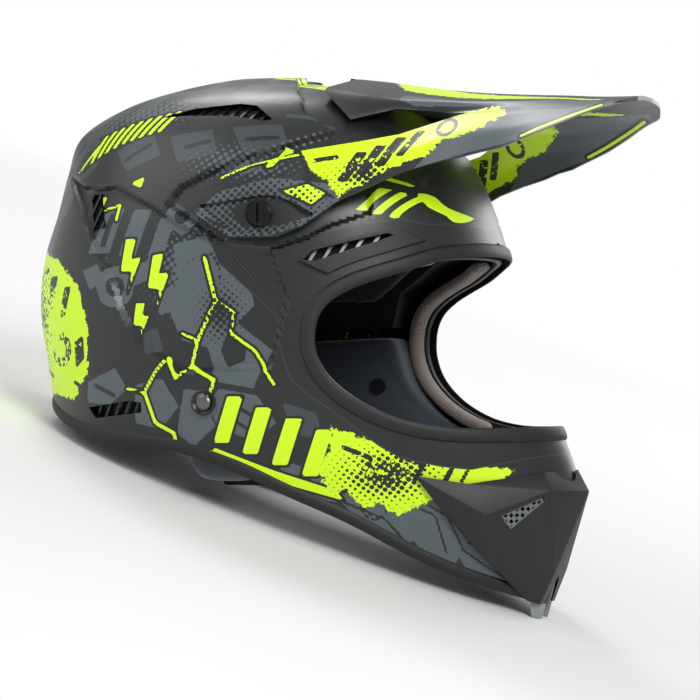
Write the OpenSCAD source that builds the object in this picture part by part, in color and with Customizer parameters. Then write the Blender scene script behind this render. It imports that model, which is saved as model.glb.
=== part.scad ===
// Motocross helmet: a moulded shell with chin bar, foam liners, trims, vents,
// a tilting peak on three screws, and a double D-ring chin strap.
// Everything is modelled in the ride frame (X forward, Y left, Z up, origin in
// the middle of the head) and then tilted as one to stand on its lower trim.

/* [Shell] */
// Overall width of the shell
shell_w = 252; // [240:1:262]
// Wall of the moulded shell
wall = 5; // [4:0.5:6]
// Angle by which the helmet leans back when it stands on its trim
stand_tilt = 21.5; // [21:0.25:22]
// Height in the ride frame of the crown's highest point
crown_z = 130.5; // [128:0.5:133]
// Depth of the ledge that runs back from the peak's pivot
ledge = 4; // [2:0.5:5]

/* [Peak] */
// Thickness of the peak's moulding
peak_t = 2.4; // [2:0.1:3]
// Side pivot, forward of the head's centre
pivot_x = 54; // [52:1:56]
// Side pivot, above the head's centre
pivot_z = 39; // [38:1:40]
// Angle that the peak tilts up from rest
peak_up = 3; // [2:1:4]
// Angle that the peak tilts down from rest
peak_down = 4; // [2:1:4]

/* [Fit] */
// Gap between foam, padding and the shell
gap = 0.3; // [0.2:0.1:0.5]
// Thickness of the foam impact liner
foam_t = 30; // [26:1:32]
// Thickness of the comfort lining
pad_t = 9; // [7:1:10]

/* [Hardware] */
// Radius of the peak's side screw heads
screw_r = 8; // [6:0.5:9]
// Radius of the strap rivets' heads
rivet_r = 4.5; // [4:0.5:5]
// Width of the chin strap
strap_w = 25; // [22:1:26]
// Wire radius of the D-rings
ring_wire = 1.8; // [1.5:0.1:2.2]

/* [Hidden] */

black = "#26282a";
graphite = "#3b3f42";
grey = "#5a6469";
neon = "#d6f500";
steel = "#c9ccce";
foam = "#1c1c1e";
cloth = "#4a4d52";
knit = "#8a7d76";

wk = shell_w / 252;

// Cross-sections of the shell from the crown down:
// height, front reach, rear reach, half width, squareness in front, squareness behind.
FORM = [
  [crown_z - 1, 50, -4, 22, 2.0, 2.0],
  [crown_z - 4, 68, 14, 42, 2.0, 2.0],
  [crown_z - 10, 90, 44, 64, 2.1, 2.1],
  [110, 111, 76, 86, 2.2, 2.2],
  [93, 127, 102, 103, 2.2, 2.3],
  [70, 143, 109, 115, 2.2, 2.3],
  [45, 154, 115, 122, 2.2, 2.3],
  [18, 163, 124, 125, 2.1, 2.3],
  [-12, 171, 127, 126, 2.0, 2.3],
  [-45, 182, 122, 125, 1.9, 2.3],
  [-78, 196, 117, 121, 1.75, 2.3],
  [-108, 208, 112, 115, 1.65, 2.3],
  [-128, 213, 106, 109, 1.6, 2.3],
  [-160, 202, 98, 102, 1.6, 2.3],
  [-190, 193, 90, 95, 1.6, 2.3],
  [-215, 186, 80, 90, 1.6, 2.3]];
last_form = len(FORM) - 1;

// Smooth curve through a list of points, at parameter t.
function spline(pts, t) =
  let (n = len(pts) - 1, i = min(max(floor(t), 0), n - 1), f = t - i,
       a = pts[max(i - 1, 0)], b = pts[i], c = pts[i + 1], d = pts[min(i + 2, n)])
  0.5 * (2 * b + (c - a) * f + (2 * a - 5 * b + 4 * c - d) * f * f
         + (3 * b - a - 3 * c + d) * f * f * f);
function smooth_path(pts, per) =
  [for (i = [0 : per * (len(pts) - 1)]) spline(pts, i / per)];

function sgn(v) = v < 0 ? -1 : 1;
function pw(v, e) = sgn(v) * pow(abs(v), e);
function middle(s) = s[1] + s[2] > 0 ? 0.18 * (s[1] - s[2]) : 0;

// Point of the shell's outer surface: t runs down the sections, a round from the front.
function skin(t, a) =
  let (s = spline(FORM, t), m = middle(s), c = cos(a), r = c >= 0 ? s[1] - m : s[2] + m,
       n = c >= 0 ? s[4] : s[5])
  [m + r * pw(c, 2 / n), wk * s[3] * pw(sin(a), 2 / n), s[0]];
function normal_at(t, a) =
  let (u = skin(min(t + 0.05, last_form), a) - skin(max(t - 0.05, 0), a),
       v = skin(t, a + 1) - skin(t, a - 1), n = cross(u, v))
  n / norm(n);
function shifted(t, a, d) = skin(t, a) - normal_at(t, a) * d;

// Half width of the outer surface at height z and station x.
TZ = [for (i = [60 * last_form : -1 : 0]) [spline(FORM, i / 60)[0], i / 60]];
function level(z) = lookup(z, TZ);
function side_y(x, z) =
  let (s = spline(FORM, level(z)), m = middle(s), r = x >= m ? s[1] - m : s[2] + m,
       n = x >= m ? s[4] : s[5], u = min(abs(x - m) / r, 1))
  wk * s[3] * pow(1 - pow(u, n), 1 / n);

// Closed body whose surface lies d inside the shell's outer surface.
module body(d = 0, around = 36, rings = 18) {
  pts = [for (j = [0 : rings]) for (i = [0 : around - 1])
           shifted(last_form * j / rings, 360 * i / around, d)];
  top = [24, 0, crown_z - d];
  foot = [50, 0, pts[len(pts) - 1][2]];
  n = around * (rings + 1);
  function at(j, i) = j * around + (i % around);
  polyhedron(
    concat(pts, [top, foot]),
    concat(
      [for (j = [0 : rings - 1]) for (i = [0 : around - 1])
        each [[at(j, i), at(j + 1, i + 1), at(j + 1, i)], [at(j, i), at(j, i + 1), at(j + 1, i + 1)]]],
      [for (i = [0 : around - 1]) each [[n, at(0, i + 1), at(0, i)],
                                        [n + 1, at(rings, i), at(rings, i + 1)]]]),
    convexity = 6);
}

// Keeps a moulded form as one fine mesh.
module on_mesh() { resize([0, 0, 0]) children(); }

// Prism along Y through the helmet with a side outline of [x, z] points.
module side_prism(outline, y0 = -160, y1 = 160) {
  translate([0, y1, 0]) rotate([90, 0, 0]) linear_extrude(y1 - y0) polygon(outline);
}
module both_sides() { children(); mirror([0, 1, 0]) children(); }

// Tilts the ride frame so that the lower trim stands on the ground, and lifts it there.
stand_lift = 115.6;
stand_shift = -60.1;
module stand() { translate([stand_shift, 0, stand_lift]) rotate([0, -stand_tilt, 0]) children(); }

// ---- outlines in side view, as [x, z] -------------------------------------

EYE = [[166, 24], [146, 19.5], [128, 12], [112, 6], [99, 0], [88, -8], [81.5, -18], [79, -30],
       [80, -43], [86, -57], [97, -69], [112, -79], [132, -87], [155, -91], [178, -91.5],
       [206, -90.5]];
eye_path = smooth_path(EYE, 2);
BASE = [[-140, -66], [-112, -72], [-84, -84], [-60, -91], [-30, -95], [0, -99], [34, -110],
        [65, -125], [98, -141], [134, -163], [162, -177], [204, -195]];
base_path = smooth_path(BASE, 2);
TRIM = [[-140, -73], [-112, -79.5], [-84, -91], [-60, -98], [-30, -103.5], [0, -109], [34, -119],
        [65, -133], [98, -150], [134, -173], [162, -187], [204, -205]];
trim_path = smooth_path(TRIM, 2);
LEDGE = [[-84, 66], [-69, 59], [-40, 57], [-15, 45], [5, 33], [25, 24], [40, 21.5], [60, 20],
         [70, -10], [60, -50], [8, -52], [-7, -43], [-19, -35], [-28, -25], [-34, -15], [-39, 0],
         [-57, 29], [-67, 44]];
ARM = [[4, 46], [6, 48.5], [23, 57], [41, 66], [59, 71], [74, 76], [100, 80.5], [100, 46],
       [90, 38.6], [79, 31], [64, 25], [38, 25], [23, 35]];
ARM_BAY = [[-4, 46], [4, 56], [20, 64], [40, 73], [60, 79], [90, 90], [112, 90], [112, 40],
           [92, 32], [80, 25], [65, 19.5], [36, 19.5], [18, 31]];
POCKET = [[18, 44.5], [38, 47], [53, 49.5], [62, 49.5], [72, 46], [86, 38.5], [73, 31], [63, 28],
          [41, 28]];
CROWN_BAY = [[42, 0], [44, 34], [56, 62], [68, 84], [100, 84], [134, 60], [134, 0]];
BROW_PANEL = [[77, 12], [83, 19], [122, 30], [127, 30.5], [144, 21.5], [127, 12.5], [100, 1]];
BROW_SLOT = [[79, 12], [84, 17.5], [122, 28], [125, 27], [118, 23.5], [86, 11.5]];
CROWN_SLOT = [[-19, 99], [2, 104], [30, 106.5], [40, 105], [52, 96], [47, 95], [29, 98.5],
              [1, 99.5]];
EXHAUST = [[-62, 54], [-53, 54], [-48, 34], [-57, 32]];
CHEEK_SLOT = [[-61, -73], [-29, -69], [-21, -70], [-21, -76], [-56, -79.5]];

// Moves an outline sideways by d.
function offset_path(p, d) = [for (i = [0 : len(p) - 1])
  let (a = p[max(i - 1, 0)], b = p[min(i + 1, len(p) - 1)], u = (b - a) / norm(b - a))
  p[i] + d * [u[1], -u[0]]];
module grown_prism(outline, d, y0, y1) {
  translate([0, y1, 0]) rotate([90, 0, 0]) linear_extrude(y1 - y0) offset(delta = d)
    polygon(outline);
}

module eyeport_prism(grow = 0) {
  side_prism(concat(offset_path(eye_path, grow), [[280, -90.5 - grow], [280, 24 + grow]]));
}
module above(path, lift = 0) {
  side_prism(concat([for (p = path) p + [0, lift]], [[300, 210], [-210, 210], [-210, path[0][1] + lift]]));
}
// Layer between two depths inside the shell's outer surface.
module layer(d0, d1, around = 36, rings = 18) {
  difference() { body(d0, around, rings); body(d1, around, rings); }
}

// ---- shell ----------------------------------------------------------------

chin_solid_x = 200;
// The bare wall: two nested bodies, solid at the tip of the chin.
module shell_wall() {
  difference() {
    intersection() { body(); above(base_path); }
    difference() {
      body(wall, 28, 14);
      translate([chin_solid_x, -100, -300]) cube([100, 200, 600]);
    }
    eyeport_prism();
  }
}
module outer_shell() {
  color(graphite) on_mesh() difference() {
    shell_wall();
    both_sides() {
      difference() { side_prism(LEDGE, -140, -60); body(ledge); }
      difference() { side_prism(ARM_BAY, -140, -60); body(3.6); }
      side_prism(CROWN_SLOT, -130, -76);
      side_prism(BROW_SLOT, -130, -60);
      side_prism(EXHAUST, -130, -90);
      side_prism(CHEEK_SLOT, -130, -95);
      for (p = [[pivot_x, pivot_z, 5.2], [20, -70, 3.4]])
        translate([p[0], -80, p[1]]) rotate([90, 0, 0]) cylinder(h = 60, r = p[2], $fn = 24);
    }
    difference() {
      translate([0, 0, 60]) linear_extrude(100) polygon(concat(CROWN_BAY, [for (i = [6 : -1 : 0])
        [CROWN_BAY[i][0], -CROWN_BAY[i][1]]]));
      body(3.8);
    }
    at_tab() translate([0, 0, 70]) cylinder(h = 30, r = 5.2, $fn = 24);
    both_sides() at_rivet() translate([0, 0, rivet_s - 0.7]) cylinder(h = 10, r = 7.7, $fn = 32);
    chin_intake();
  }
}

// Opening through the chin for the vent cover's two inlets.
module chin_intake() {
  both_sides() translate([190, -26, -132]) rotate([0, 20, -32]) cube([40, 22, 20], center = true);
}

// ---- foam and padding -------------------------------------------------------

module impact_liner() {
  color(foam) on_mesh() difference() {
    intersection() {
      body(wall + gap, 28, 14);
      above(base_path, 6);
      side_prism([[-200, -100], [-42, -100], [-30, -26], [66, -22], [72, 0], [100, 16], [150, 30],
                  [150, 200], [-200, 200]]);
    }
    eyeport_prism(7);
    body(wall + gap + foam_t, 24, 12);
    both_sides() translate([pivot_x, -80, pivot_z]) rotate([90, 0, 0]) cylinder(h = 60, r = 12, $fn = 20);
    at_tab() translate([0, 0, 60]) cylinder(h = 40, r = 11, $fn = 20);
  }
}

module chin_liner() {
  color(foam) on_mesh() difference() {
    intersection() {
      body(wall + gap, 28, 14);
      side_prism([[128, -60], [chin_solid_x - gap, -60], [chin_solid_x - gap, -190], [128, -190]]);
      above(base_path, 7);
    }
    body(wall + gap + 16, 24, 12);
    eyeport_prism(7);
    chin_intake();
  }
}

module comfort_liner() {
  color(cloth) on_mesh() difference() {
    intersection() {
      body(wall + 2 * gap + foam_t, 24, 12);
      side_prism([[-200, -46], [-60, -46], [-20, -8], [56, -6], [84, 14], [150, 34], [150, 200],
                  [-200, 200]]);
    }
    body(wall + 2 * gap + foam_t + pad_t, 24, 12);
  }
}

cheek_in = 70;
module cheek_pad() {
  color(cloth) on_mesh() difference() {
    intersection() {
      body(wall + 2 * gap, 28, 14);
      above(base_path, 5);
      side_prism([[-24, -34], [20, -31], [68, -29], [74, -44], [84, -62], [100, -76], [118, -86],
                  [126, -96], [126, -140], [60, -112], [-10, -84], [-24, -80]], -130, -cheek_in);
    }
    eyeport_prism(7);
    at_rivet() translate([0, 0, 90]) cylinder(h = 40, r = 11, $fn = 20);
    mirror([0, 1, 0]) across(strap_w + 9) polygon(ribbon(drop, 11));
  }
}
module cheek_pad_right() { cheek_pad(); }
module cheek_pad_left() { mirror([0, 1, 0]) cheek_pad(); }

module neck_roll() {
  color(cloth) on_mesh() difference() {
    intersection() {
      body(wall + 2 * gap + foam_t, 24, 12);
      side_prism([[-150, -47], [-62, -47], [-36, -60], [-36, -84], [-150, -64]]);
    }
    body(wall + foam_t + 14, 24, 12);
  }
}
// Press studs that hold the pads to the foam.
module pad_snaps() {
  color(black) both_sides() for (x = [0, 60])
    translate([x, -cheek_in + 0.2, -60]) rotate([-90, 0, 0]) cylinder(h = 2, r = 5, $fn = 24);
}

// ---- trims ------------------------------------------------------------------

// Rubber lip that wraps the edge of the eyeport.
module eyeport_trim() {
  color(black) on_mesh() difference() {
    intersection() { layer(-1.8, 9, 28, 14); eyeport_prism(6.5); }
    eyeport_prism(-2.5);
    shell_wall();
  }
}

module eyeport_piping() {
  color(knit) on_mesh() difference() {
    intersection() {
      layer(9.5, 22, 28, 14);
      eyeport_prism();
      side_prism([[60, -84], [140, -84], [160, 40], [60, 40]]);
    }
    eyeport_prism(-7);
    translate([132, -26, -20]) cube([40, 52, 80]);
  }
}

module base_trim() {
  color(black) on_mesh() difference() {
    intersection() {
      layer(-1.2, 9, 28, 14);
      above(trim_path);
      side_prism([[-200, -300], [186, -300], [186, 0], [-200, 0]]);
    }
    above(base_path, -gap);
    sit_flat();
  }
}
// Everything below the plane that the helmet stands on.
module sit_flat() {
  rotate([0, stand_tilt, 0]) translate([0, 0, -stand_lift - 50]) cube([900, 500, 100], center = true);
}
module trim_end() {
  color("#a9acae") on_mesh() difference() {
    intersection() {
      layer(-1.6, 9);
      above(trim_path);
      side_prism([[186.3, -300], [240, -300], [240, 0], [186.3, 0]], -60, -6);
    }
    above(base_path, -gap);
    sit_flat();
  }
}
module base_trim_end_right() { trim_end(); }
module base_trim_end_left() { mirror([0, 1, 0]) trim_end(); }

// ---- vents ------------------------------------------------------------------

// Inlet under the cover's ridge, drawn flat and placed on the side of the chin.
INLET = [[0, 0], [27, 10.5], [28, 8], [7, -8]];
module at_inlet() { translate([177.7, -52.7, -136]) rotate([90, 0, 39.3]) children(); }
function flip(p) = [p[0], -p[1], p[2]];

module chin_vent_cover() {
  // tip, upper edge, front, top of the nose, nose, end of the ridge, ridge, heel, ankle, foot, shin
  half = [[135, -83, -112], [163, -66, -117], [199, -31, -111], [211, 0, -110], [218, 0, -123],
          [204, -36, -122.5], [173, -63, -136], [150, -71, -135], [167, -56, -159], [190, -17, -194],
          [200, -13, -172]];
  pts = concat(half, [for (p = half) flip(p)], [[150, 0, -145]]);
  core = 22;
  skin_tris = [[0, 1, 6], [1, 2, 5], [1, 5, 6], [2, 3, 4], [2, 4, 5], [0, 6, 7], [6, 8, 7], [6, 5, 10],
               [6, 10, 9], [6, 9, 8], [5, 4, 10]];
  edge = [0, 1, 2, 3];
  low = [7, 8, 9];
  color(black) on_mesh() difference() {
    polyhedron(pts, concat(
      skin_tris, [for (f = skin_tris) [f[2] + 11, f[1] + 11, f[0] + 11]],
      [[10, 4, 21], [9, 10, 21], [9, 21, 20]],
      [for (i = [0 : 2]) each [[edge[i + 1], edge[i], core], [edge[i] + 11, edge[i + 1] + 11, core]]],
      [for (i = [0 : 1]) each [[low[i], low[i + 1], core], [low[i + 1] + 11, low[i] + 11, core]]],
      [[0, 7, core], [18, 11, core], [9, 20, core]]), convexity = 4);
    body(-1.3);
    side_prism([[100, -240], [230, -240], [230, -207], [204, -195.3], [162, -177.3], [134, -163.3],
                [100, -142]]);
    both_sides() at_inlet() translate([0, 0, -8]) linear_extrude(30) polygon(INLET);
  }
}

// Flat mesh of square bars within an outline.
module mesh_plate(outline, pitch, bar, t) {
  linear_extrude(t) difference() {
    polygon(outline);
    intersection() {
      offset(delta = -bar) polygon(outline);
      for (i = [-8 : 8]) for (j = [-8 : 8]) translate([i, j] * pitch) rotate(45)
        square(pitch / sqrt(2) - bar / 2, center = true);
    }
  }
}
module chin_vent_mesh() {
  color(steel) both_sides() at_inlet() mesh_plate(INLET, 3.6, 0.8, 1);
}
module breath_mesh() {
  color(black) translate([150, 0, -122]) rotate([90, 0, 90])
    mesh_plate([[-26, -9], [26, -9], [26, 9], [-26, 9]], 6, 1.4, 1.6);
}
module brow_vent_panel() {
  color(black) on_mesh() difference() {
    intersection() { layer(-3, -gap); side_prism(BROW_PANEL, -130, -50); }
    side_prism(BROW_SLOT, -130, -50);
    eyeport_prism(7);
  }
}
module brow_vent_panel_right() { brow_vent_panel(); }
module brow_vent_panel_left() { mirror([0, 1, 0]) brow_vent_panel(); }

module slot_mesh(outline, y0, y1, d = 1.6) {
  on_mesh() intersection() {
    layer(d, wall - 0.6, 28, 16);
    side_prism(outline, y0, y1);
    union() for (i = [-40 : 40]) rotate([0, 28, 0]) translate([i * 6, 0, 0])
      cube([1.6, 400, 400], center = true);
  }
}
module brow_vent_mesh() { color(steel) both_sides() slot_mesh(BROW_SLOT, -130, -60); }
module crown_vent_mesh() { color(black) both_sides() slot_mesh(CROWN_SLOT, -130, -76); }
module rear_exhaust_grille() { color(black) both_sides() slot_mesh(EXHAUST, -130, -90); }
module cheek_vent_grille() { color(black) both_sides() slot_mesh(CHEEK_SLOT, -130, -95); }
module brow_intake() {
  color(black) translate([144.5, 0, 18]) linear_extrude(1.6) difference() {
    square([10, 30], center = true);
    for (i = [-2 : 2]) translate([0, i * 5.6]) square([7, 3.6], center = true);
  }
}

// ---- peak -------------------------------------------------------------------

// Stations of the peak's outer surface from the pivot forward:
// x, lower edge, middle of the arm, top of the arm, foot of the hood's wall,
// edge of the hood, each as [half width, height], and the height on the centre line.
PEAK = [
  [66, [125, 14], [121.5, 34], [107, 76], [82, 103], [64, 118.5], 130],
  [80, [119, 24], [115.5, 44], [101.5, 79], [76, 100], [61, 115.8], 128.3],
  [94, [115, 33], [111.5, 52], [94, 82], [72, 97], [58, 113.5], 126.3],
  [116, [107, 49], [101, 66], [84.5, 85.5], [56, 103.5], [52, 110], 122.6],
  [141, [99, 62], [88, 78], [70, 92], [50, 101], [48, 108.3], 119],
  [160, [92, 69], [77, 86], [59, 98.5], [50, 101], [46, 107.3], 117],
  [186, [81, 75.5], [71, 88], [59, 98.5], [51, 103], [45, 107], 115],
  [210, [77, 85.5], [68, 93], [59, 99.5], [52, 103.5], [45, 106.6], 113.2],
  [232, [66, 95], [61, 98], [56, 101], [51, 103.3], [46, 105], 111.8],
  [262, [52, 103], [50, 104], [48, 105], [44, 106.3], [38, 107.4], 109.8]];
peak_rows = 14;
function station(t) =
  let (s = [for (k = [1 : 5]) spline([for (r = PEAK) [r[0], r[k][0], r[k][1]]], t)],
       c = spline([for (r = PEAK) [r[0], r[6]]], t))
  concat([for (p = s) [p[0], -p[1], p[2]]], [[c[0], -18, (c[1] * 2 + s[4][2]) / 3 + 1], [c[0], 0, c[1]]]);
function full_station(t) = let (h = station(t)) concat(h, [for (i = [5 : -1 : 0]) flip(h[i])]);

// Sheet through the stations, d below its outer surface at the inside.
module peak_sheet(d) {
  rows = [for (j = [0 : peak_rows]) full_station((len(PEAK) - 1) * j / peak_rows)];
  cols = len(rows[0]);
  function below(r, i) = let (a = r[max(i - 1, 0)], b = r[min(i + 1, cols - 1)], u = (b - a) / norm(b - a))
    r[i] + d * [0, u[2], -u[1]];
  pts = concat([for (r = rows) each r], [for (r = rows) for (i = [0 : cols - 1]) below(r, i)]);
  n = cols * (peak_rows + 1);
  function at(j, i) = j * cols + i;
  polyhedron(pts, concat(
    [for (j = [0 : peak_rows - 1]) for (i = [0 : cols - 2]) let (a = at(j, i), b = at(j + 1, i))
      each [[a, a + 1, b + 1], [a, b + 1, b], [a + n, b + 1 + n, a + 1 + n], [a + n, b + n, b + 1 + n]]],
    [for (j = [0 : peak_rows - 1]) let (a = at(j, 0), b = at(j + 1, 0), e = at(j, cols - 1),
      f = at(j + 1, cols - 1)) each [[a, b, b + n], [a, b + n, a + n], [e, f + n, f], [e, e + n, f + n]]],
    [for (i = [0 : cols - 2]) let (a = at(0, i), e = at(peak_rows, i))
      each [[a, a + n, a + 1 + n], [a, a + 1 + n, a + 1], [e, e + 1 + n, e + n], [e, e + 1, e + 1 + n]]]),
    convexity = 6);
}

tab_tilt = 12.5;
tab_r = 87;
slot_half = tab_r * sin(max(peak_up, peak_down)) + 0.6;
module at_pivot() { translate([pivot_x, 0, pivot_z]) rotate([90, 0, 0]) children(); }
module at_tab() { translate([pivot_x, 0, pivot_z]) rotate([0, tab_tilt, 0]) children(); }

PEAK_SIDE = [[4, 46], [6, 48.5], [23, 57], [41, 66], [59, 71], [74, 76], [90, 79], [107, 82],
  [126, 86], [141, 92.5], [158, 100], [141, 101.5], [116, 103.6], [105, 100.4], [93, 96.5],
  [72, 116], [60, 128], [58, 150], [300, 150], [300, 104], [252, 104], [240, 100], [233, 97],
  [225, 93], [210, 86], [198, 81], [186, 76], [176, 74], [166, 71], [149, 67], [133, 62],
  [122, 57], [112, 52], [96, 44], [90, 38.6], [79, 31], [64, 25], [38, 25], [23, 35]];
PEAK_PLAN = [[0, 140], [0, -140], [200, -140], [242, -62], [250, -48], [255, -28], [257, 0], [255, 28],
  [250, 48], [242, 62], [200, 140]];

module peak() {
  color(neon) on_mesh() difference() {
    union() {
      intersection() {
        peak_sheet(peak_t);
        side_prism(PEAK_SIDE);
        linear_extrude(200) polygon(PEAK_PLAN);
        translate([73, -200, 0]) cube([300, 400, 200]);
      }
      both_sides() {
        intersection() {
          layer(-3.2, -3.2 + peak_t);
          side_prism(ARM, -140, -60);
          translate([-20, -200, 0]) cube([98, 400, 110]);
        }
        intersection() {
          layer(-3.2, 1.6);
          difference() {
            grown_prism(POCKET, 1.6, -140, -60);
            side_prism(POCKET, -140, -60);
          }
        }
        intersection() {
          layer(-0.4, 1.6);
          grown_prism(POCKET, 1.6, -140, -60);
        }
      }
      intersection() {
        at_pivot() cylinder(h = 34, r = tab_r + 2, center = true, $fn = 96);
        translate([58, -50, 100]) cube([30, 100, 60]);
      }
      for (y = [-17, 15]) translate([74, y, 110]) cube([14, 2, 13.4]);
      both_sides() at_pivot() translate([0, 0, floor_s - 2.3]) cylinder(h = 2.3, r = 8.6, $fn = 32);
    }
    both_sides() intersection() {
      side_prism(POCKET, -160, -60);
      difference() { translate([-20, -200, -20]) cube([150, 400, 110]); body(-0.4); }
    }
    both_sides() at_pivot() translate([0, 0, floor_s]) cylinder(h = 20, r = 8.8, $fn = 32);
    at_pivot() cylinder(h = 400, r = 5.2, center = true, $fn = 24);
    at_pivot() cylinder(h = 40, r = tab_r, center = true, $fn = 96);
    at_tab() hull() for (a = [-1, 1]) translate([a * slot_half, 0, 60]) cylinder(h = 60, r = 2.8, $fn = 20);
    at_tab() hull() for (a = [-1, 1]) translate([a * slot_half, 0, tab_r + 2.1])
      cylinder(h = 60, r = 8.6, $fn = 20);
  }
}

// ---- hardware ---------------------------------------------------------------

floor_s = 118.7;
shank_r = 3;
// Eyelets pressed into the peak's arms: the peak turns on them.
module peak_bush() {
  color(black) at_pivot() difference() {
    union() {
      translate([0, 0, floor_s - 3]) cylinder(h = 3.2, r = 5.1, $fn = 40);
      translate([0, 0, floor_s]) cylinder(h = 0.8, r = 6.6, $fn = 40);
    }
    translate([0, 0, floor_s - 10]) cylinder(h = 20, r = shank_r + 0.06, $fn = 40);
  }
}
module peak_bushes() { both_sides() peak_bush(); }

// Threaded T-nuts behind the shell.
module insert(top, bore) {
  difference() {
    union() {
      translate([0, 0, top - 12]) cylinder(h = 12, r = 5, $fn = 40);
      translate([0, 0, top - 9]) cylinder(h = 1.6, r = 10, $fn = 40);
    }
    translate([0, 0, top - 20]) cylinder(h = 30, r = bore + 0.05, $fn = 40);
  }
}
module peak_inserts() {
  color(steel) {
    both_sides() at_pivot() insert(115.2, shank_r);
    at_tab() insert(tab_r - 0.4, 2.5);
  }
}

module coin_screw(head_z, head_r, r, length) {
  difference() {
    union() {
      translate([0, 0, head_z - length]) cylinder(h = length + 1, r = r, $fn = 40);
      translate([0, 0, head_z]) rotate_extrude($fn = 48)
        polygon([[0, 0], [head_r - 0.6, 0], [head_r, 0.6], [head_r, 2.2], [head_r - 1.2, 3.4], [0, 3.4]]);
    }
    translate([-0.9, -head_r * 0.7, head_z + 2]) cube([1.8, head_r * 1.4, 4]);
  }
}
module peak_screw_right() { color(black) at_pivot() coin_screw(floor_s + 1, screw_r, shank_r, 18); }
module peak_screw_left() { mirror([0, 1, 0]) peak_screw_right(); }
module peak_screw_centre() {
  color(black) at_tab() difference() {
    union() {
      translate([0, 0, tab_r - 14]) cylinder(h = 18, r = 2.5, $fn = 40);
      translate([0, 0, tab_r + 2.3]) cylinder(h = 1.8, r = 7, $fn = 48);
    }
    translate([-0.9, -5, tab_r + 3.4]) cube([1.8, 10, 4]);
  }
}

rivet_x = 20;
rivet_z = -70;
rivet_s = 121.6;
module at_rivet() { translate([rivet_x, 0, rivet_z]) rotate([90, 0, 0]) children(); }
module rivet_bezels() {
  color(black) both_sides() at_rivet() translate([0, 0, rivet_s]) rotate_extrude($fn = 48)
    polygon([[3.2, -0.6], [7.5, 0.5], [7.5, 1.6], [6.6, 1.9], [5, 0.8], [3.2, 0.4]]);
}
module strap_rivet_right() {
  color(steel) at_rivet() union() {
    translate([0, 0, rivet_s - 12]) cylinder(h = 13, r = 2.9, $fn = 40);
    translate([0, 0, rivet_s + 0.9]) rotate_extrude($fn = 48)
      polygon([[0, 0], [rivet_r, 0], [rivet_r, 0.6], [rivet_r - 1.2, 1.4], [0, 1.7]]);
    translate([0, 0, rivet_s - 12.4]) cylinder(h = 1.4, r = 6, $fn = 40);
  }
}
module strap_rivet_left() { mirror([0, 1, 0]) strap_rivet_right(); }

// ---- chin strap -------------------------------------------------------------

strap_t = 2;
DROP = [[113.6, -58], [113.4, -70], [111.8, -82], [107.5, -92], [103, -100], [97, -107.5],
        [88, -111.6], [78, -112.3]];
drop = smooth_path(DROP, 3);
function ribbon(p, t) = concat(offset_path(p, t / 2), [for (i = [len(p) - 1 : -1 : 0])
  offset_path(p, -t / 2)[i]]);
// Extrudes a [half width, height] outline along X, centred on the rivets.
module across(w) {
  translate([rivet_x - w / 2, 0, 0]) rotate([90, 0, 90]) linear_extrude(w) children();
}
module strap_hole() { at_rivet() cylinder(h = 140, r = 3.2, $fn = 40); }
ring_gap = 2.2;
loop_y = 60;
loop_z = -112.3;
module chin_strap_right() {
  color(black) difference() {
    mirror([0, 1, 0]) union() {
      across(strap_w) polygon(ribbon(concat(drop, [[65, -112.3]]), strap_t));
      across(strap_w - 1) difference() {
        hull() for (s = [-1, 1]) translate([loop_y, loop_z + s * ring_gap]) circle(r = 5.4, $fn = 32);
        hull() for (s = [-1, 1]) translate([loop_y, loop_z + s * ring_gap]) circle(r = 3.2, $fn = 32);
      }
    }
    strap_hole();
  }
}
module chin_strap_left() {
  fold = 2.4;
  color(black) difference() {
    across(strap_w) {
      polygon(ribbon(concat(drop, [[60, -112.3], [12, -112.3]]), strap_t));
      polygon(ribbon([[12, -112.3 + 2 * fold], [64, -112.3 + 2 * fold]], strap_t));
      difference() {
        translate([12, -112.3 + fold]) circle(r = fold + strap_t / 2, $fn = 32);
        translate([12, -112.3 + fold]) circle(r = fold - strap_t / 2, $fn = 32);
        translate([12, -130]) square([20, 40]);
      }
    }
    mirror([0, 1, 0]) strap_hole();
  }
}
module strap_pad() {
  path = [for (p = drop) if (p[0] < 100) p];
  color(cloth) mirror([0, 1, 0]) difference() {
    across(strap_w + 8) polygon(ribbon(path, 9));
    across(strap_w + 0.6) polygon(ribbon(drop, strap_t + 0.6));
  }
}
module strap_pad_right() { strap_pad(); }
module strap_pad_left() { mirror([0, 1, 0]) strap_pad(); }

ring_r = 15;
module d_ring(up) {
  color(steel) translate([rivet_x, -loop_y, loop_z + up * ring_gap]) {
    rotate([0, 90, 0]) cylinder(h = 2 * ring_r, r = ring_wire, center = true, $fn = 32);
    rotate_extrude(angle = 180, $fn = 64) translate([ring_r, 0]) circle(r = ring_wire, $fn = 32);
    for (s = [-1, 1]) translate([s * ring_r, 0, 0]) sphere(r = ring_wire, $fn = 32);
  }
}
module d_ring_outer() { d_ring(1); }
module d_ring_inner() { d_ring(-1); }

stand() outer_shell();
stand() impact_liner();
stand() chin_liner();
stand() eyeport_trim();
stand() eyeport_piping();
stand() base_trim();
stand() base_trim_end_left();
stand() base_trim_end_right();
stand() chin_vent_cover();
stand() chin_vent_mesh();
stand() breath_mesh();
stand() brow_vent_panel_left();
stand() brow_vent_panel_right();
stand() brow_vent_mesh();
stand() brow_intake();
stand() crown_vent_mesh();
stand() rear_exhaust_grille();
stand() cheek_vent_grille();
stand() comfort_liner();
stand() cheek_pad_left();
stand() cheek_pad_right();
stand() neck_roll();
stand() pad_snaps();
stand() rivet_bezels();
stand() strap_rivet_left();
stand() strap_rivet_right();
stand() chin_strap_left();
stand() chin_strap_right();
stand() strap_pad_left();
stand() strap_pad_right();
stand() d_ring_outer();
stand() d_ring_inner();
stand() peak();
stand() peak_bushes();
stand() peak_inserts();
stand() peak_screw_left();
stand() peak_screw_right();
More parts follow.
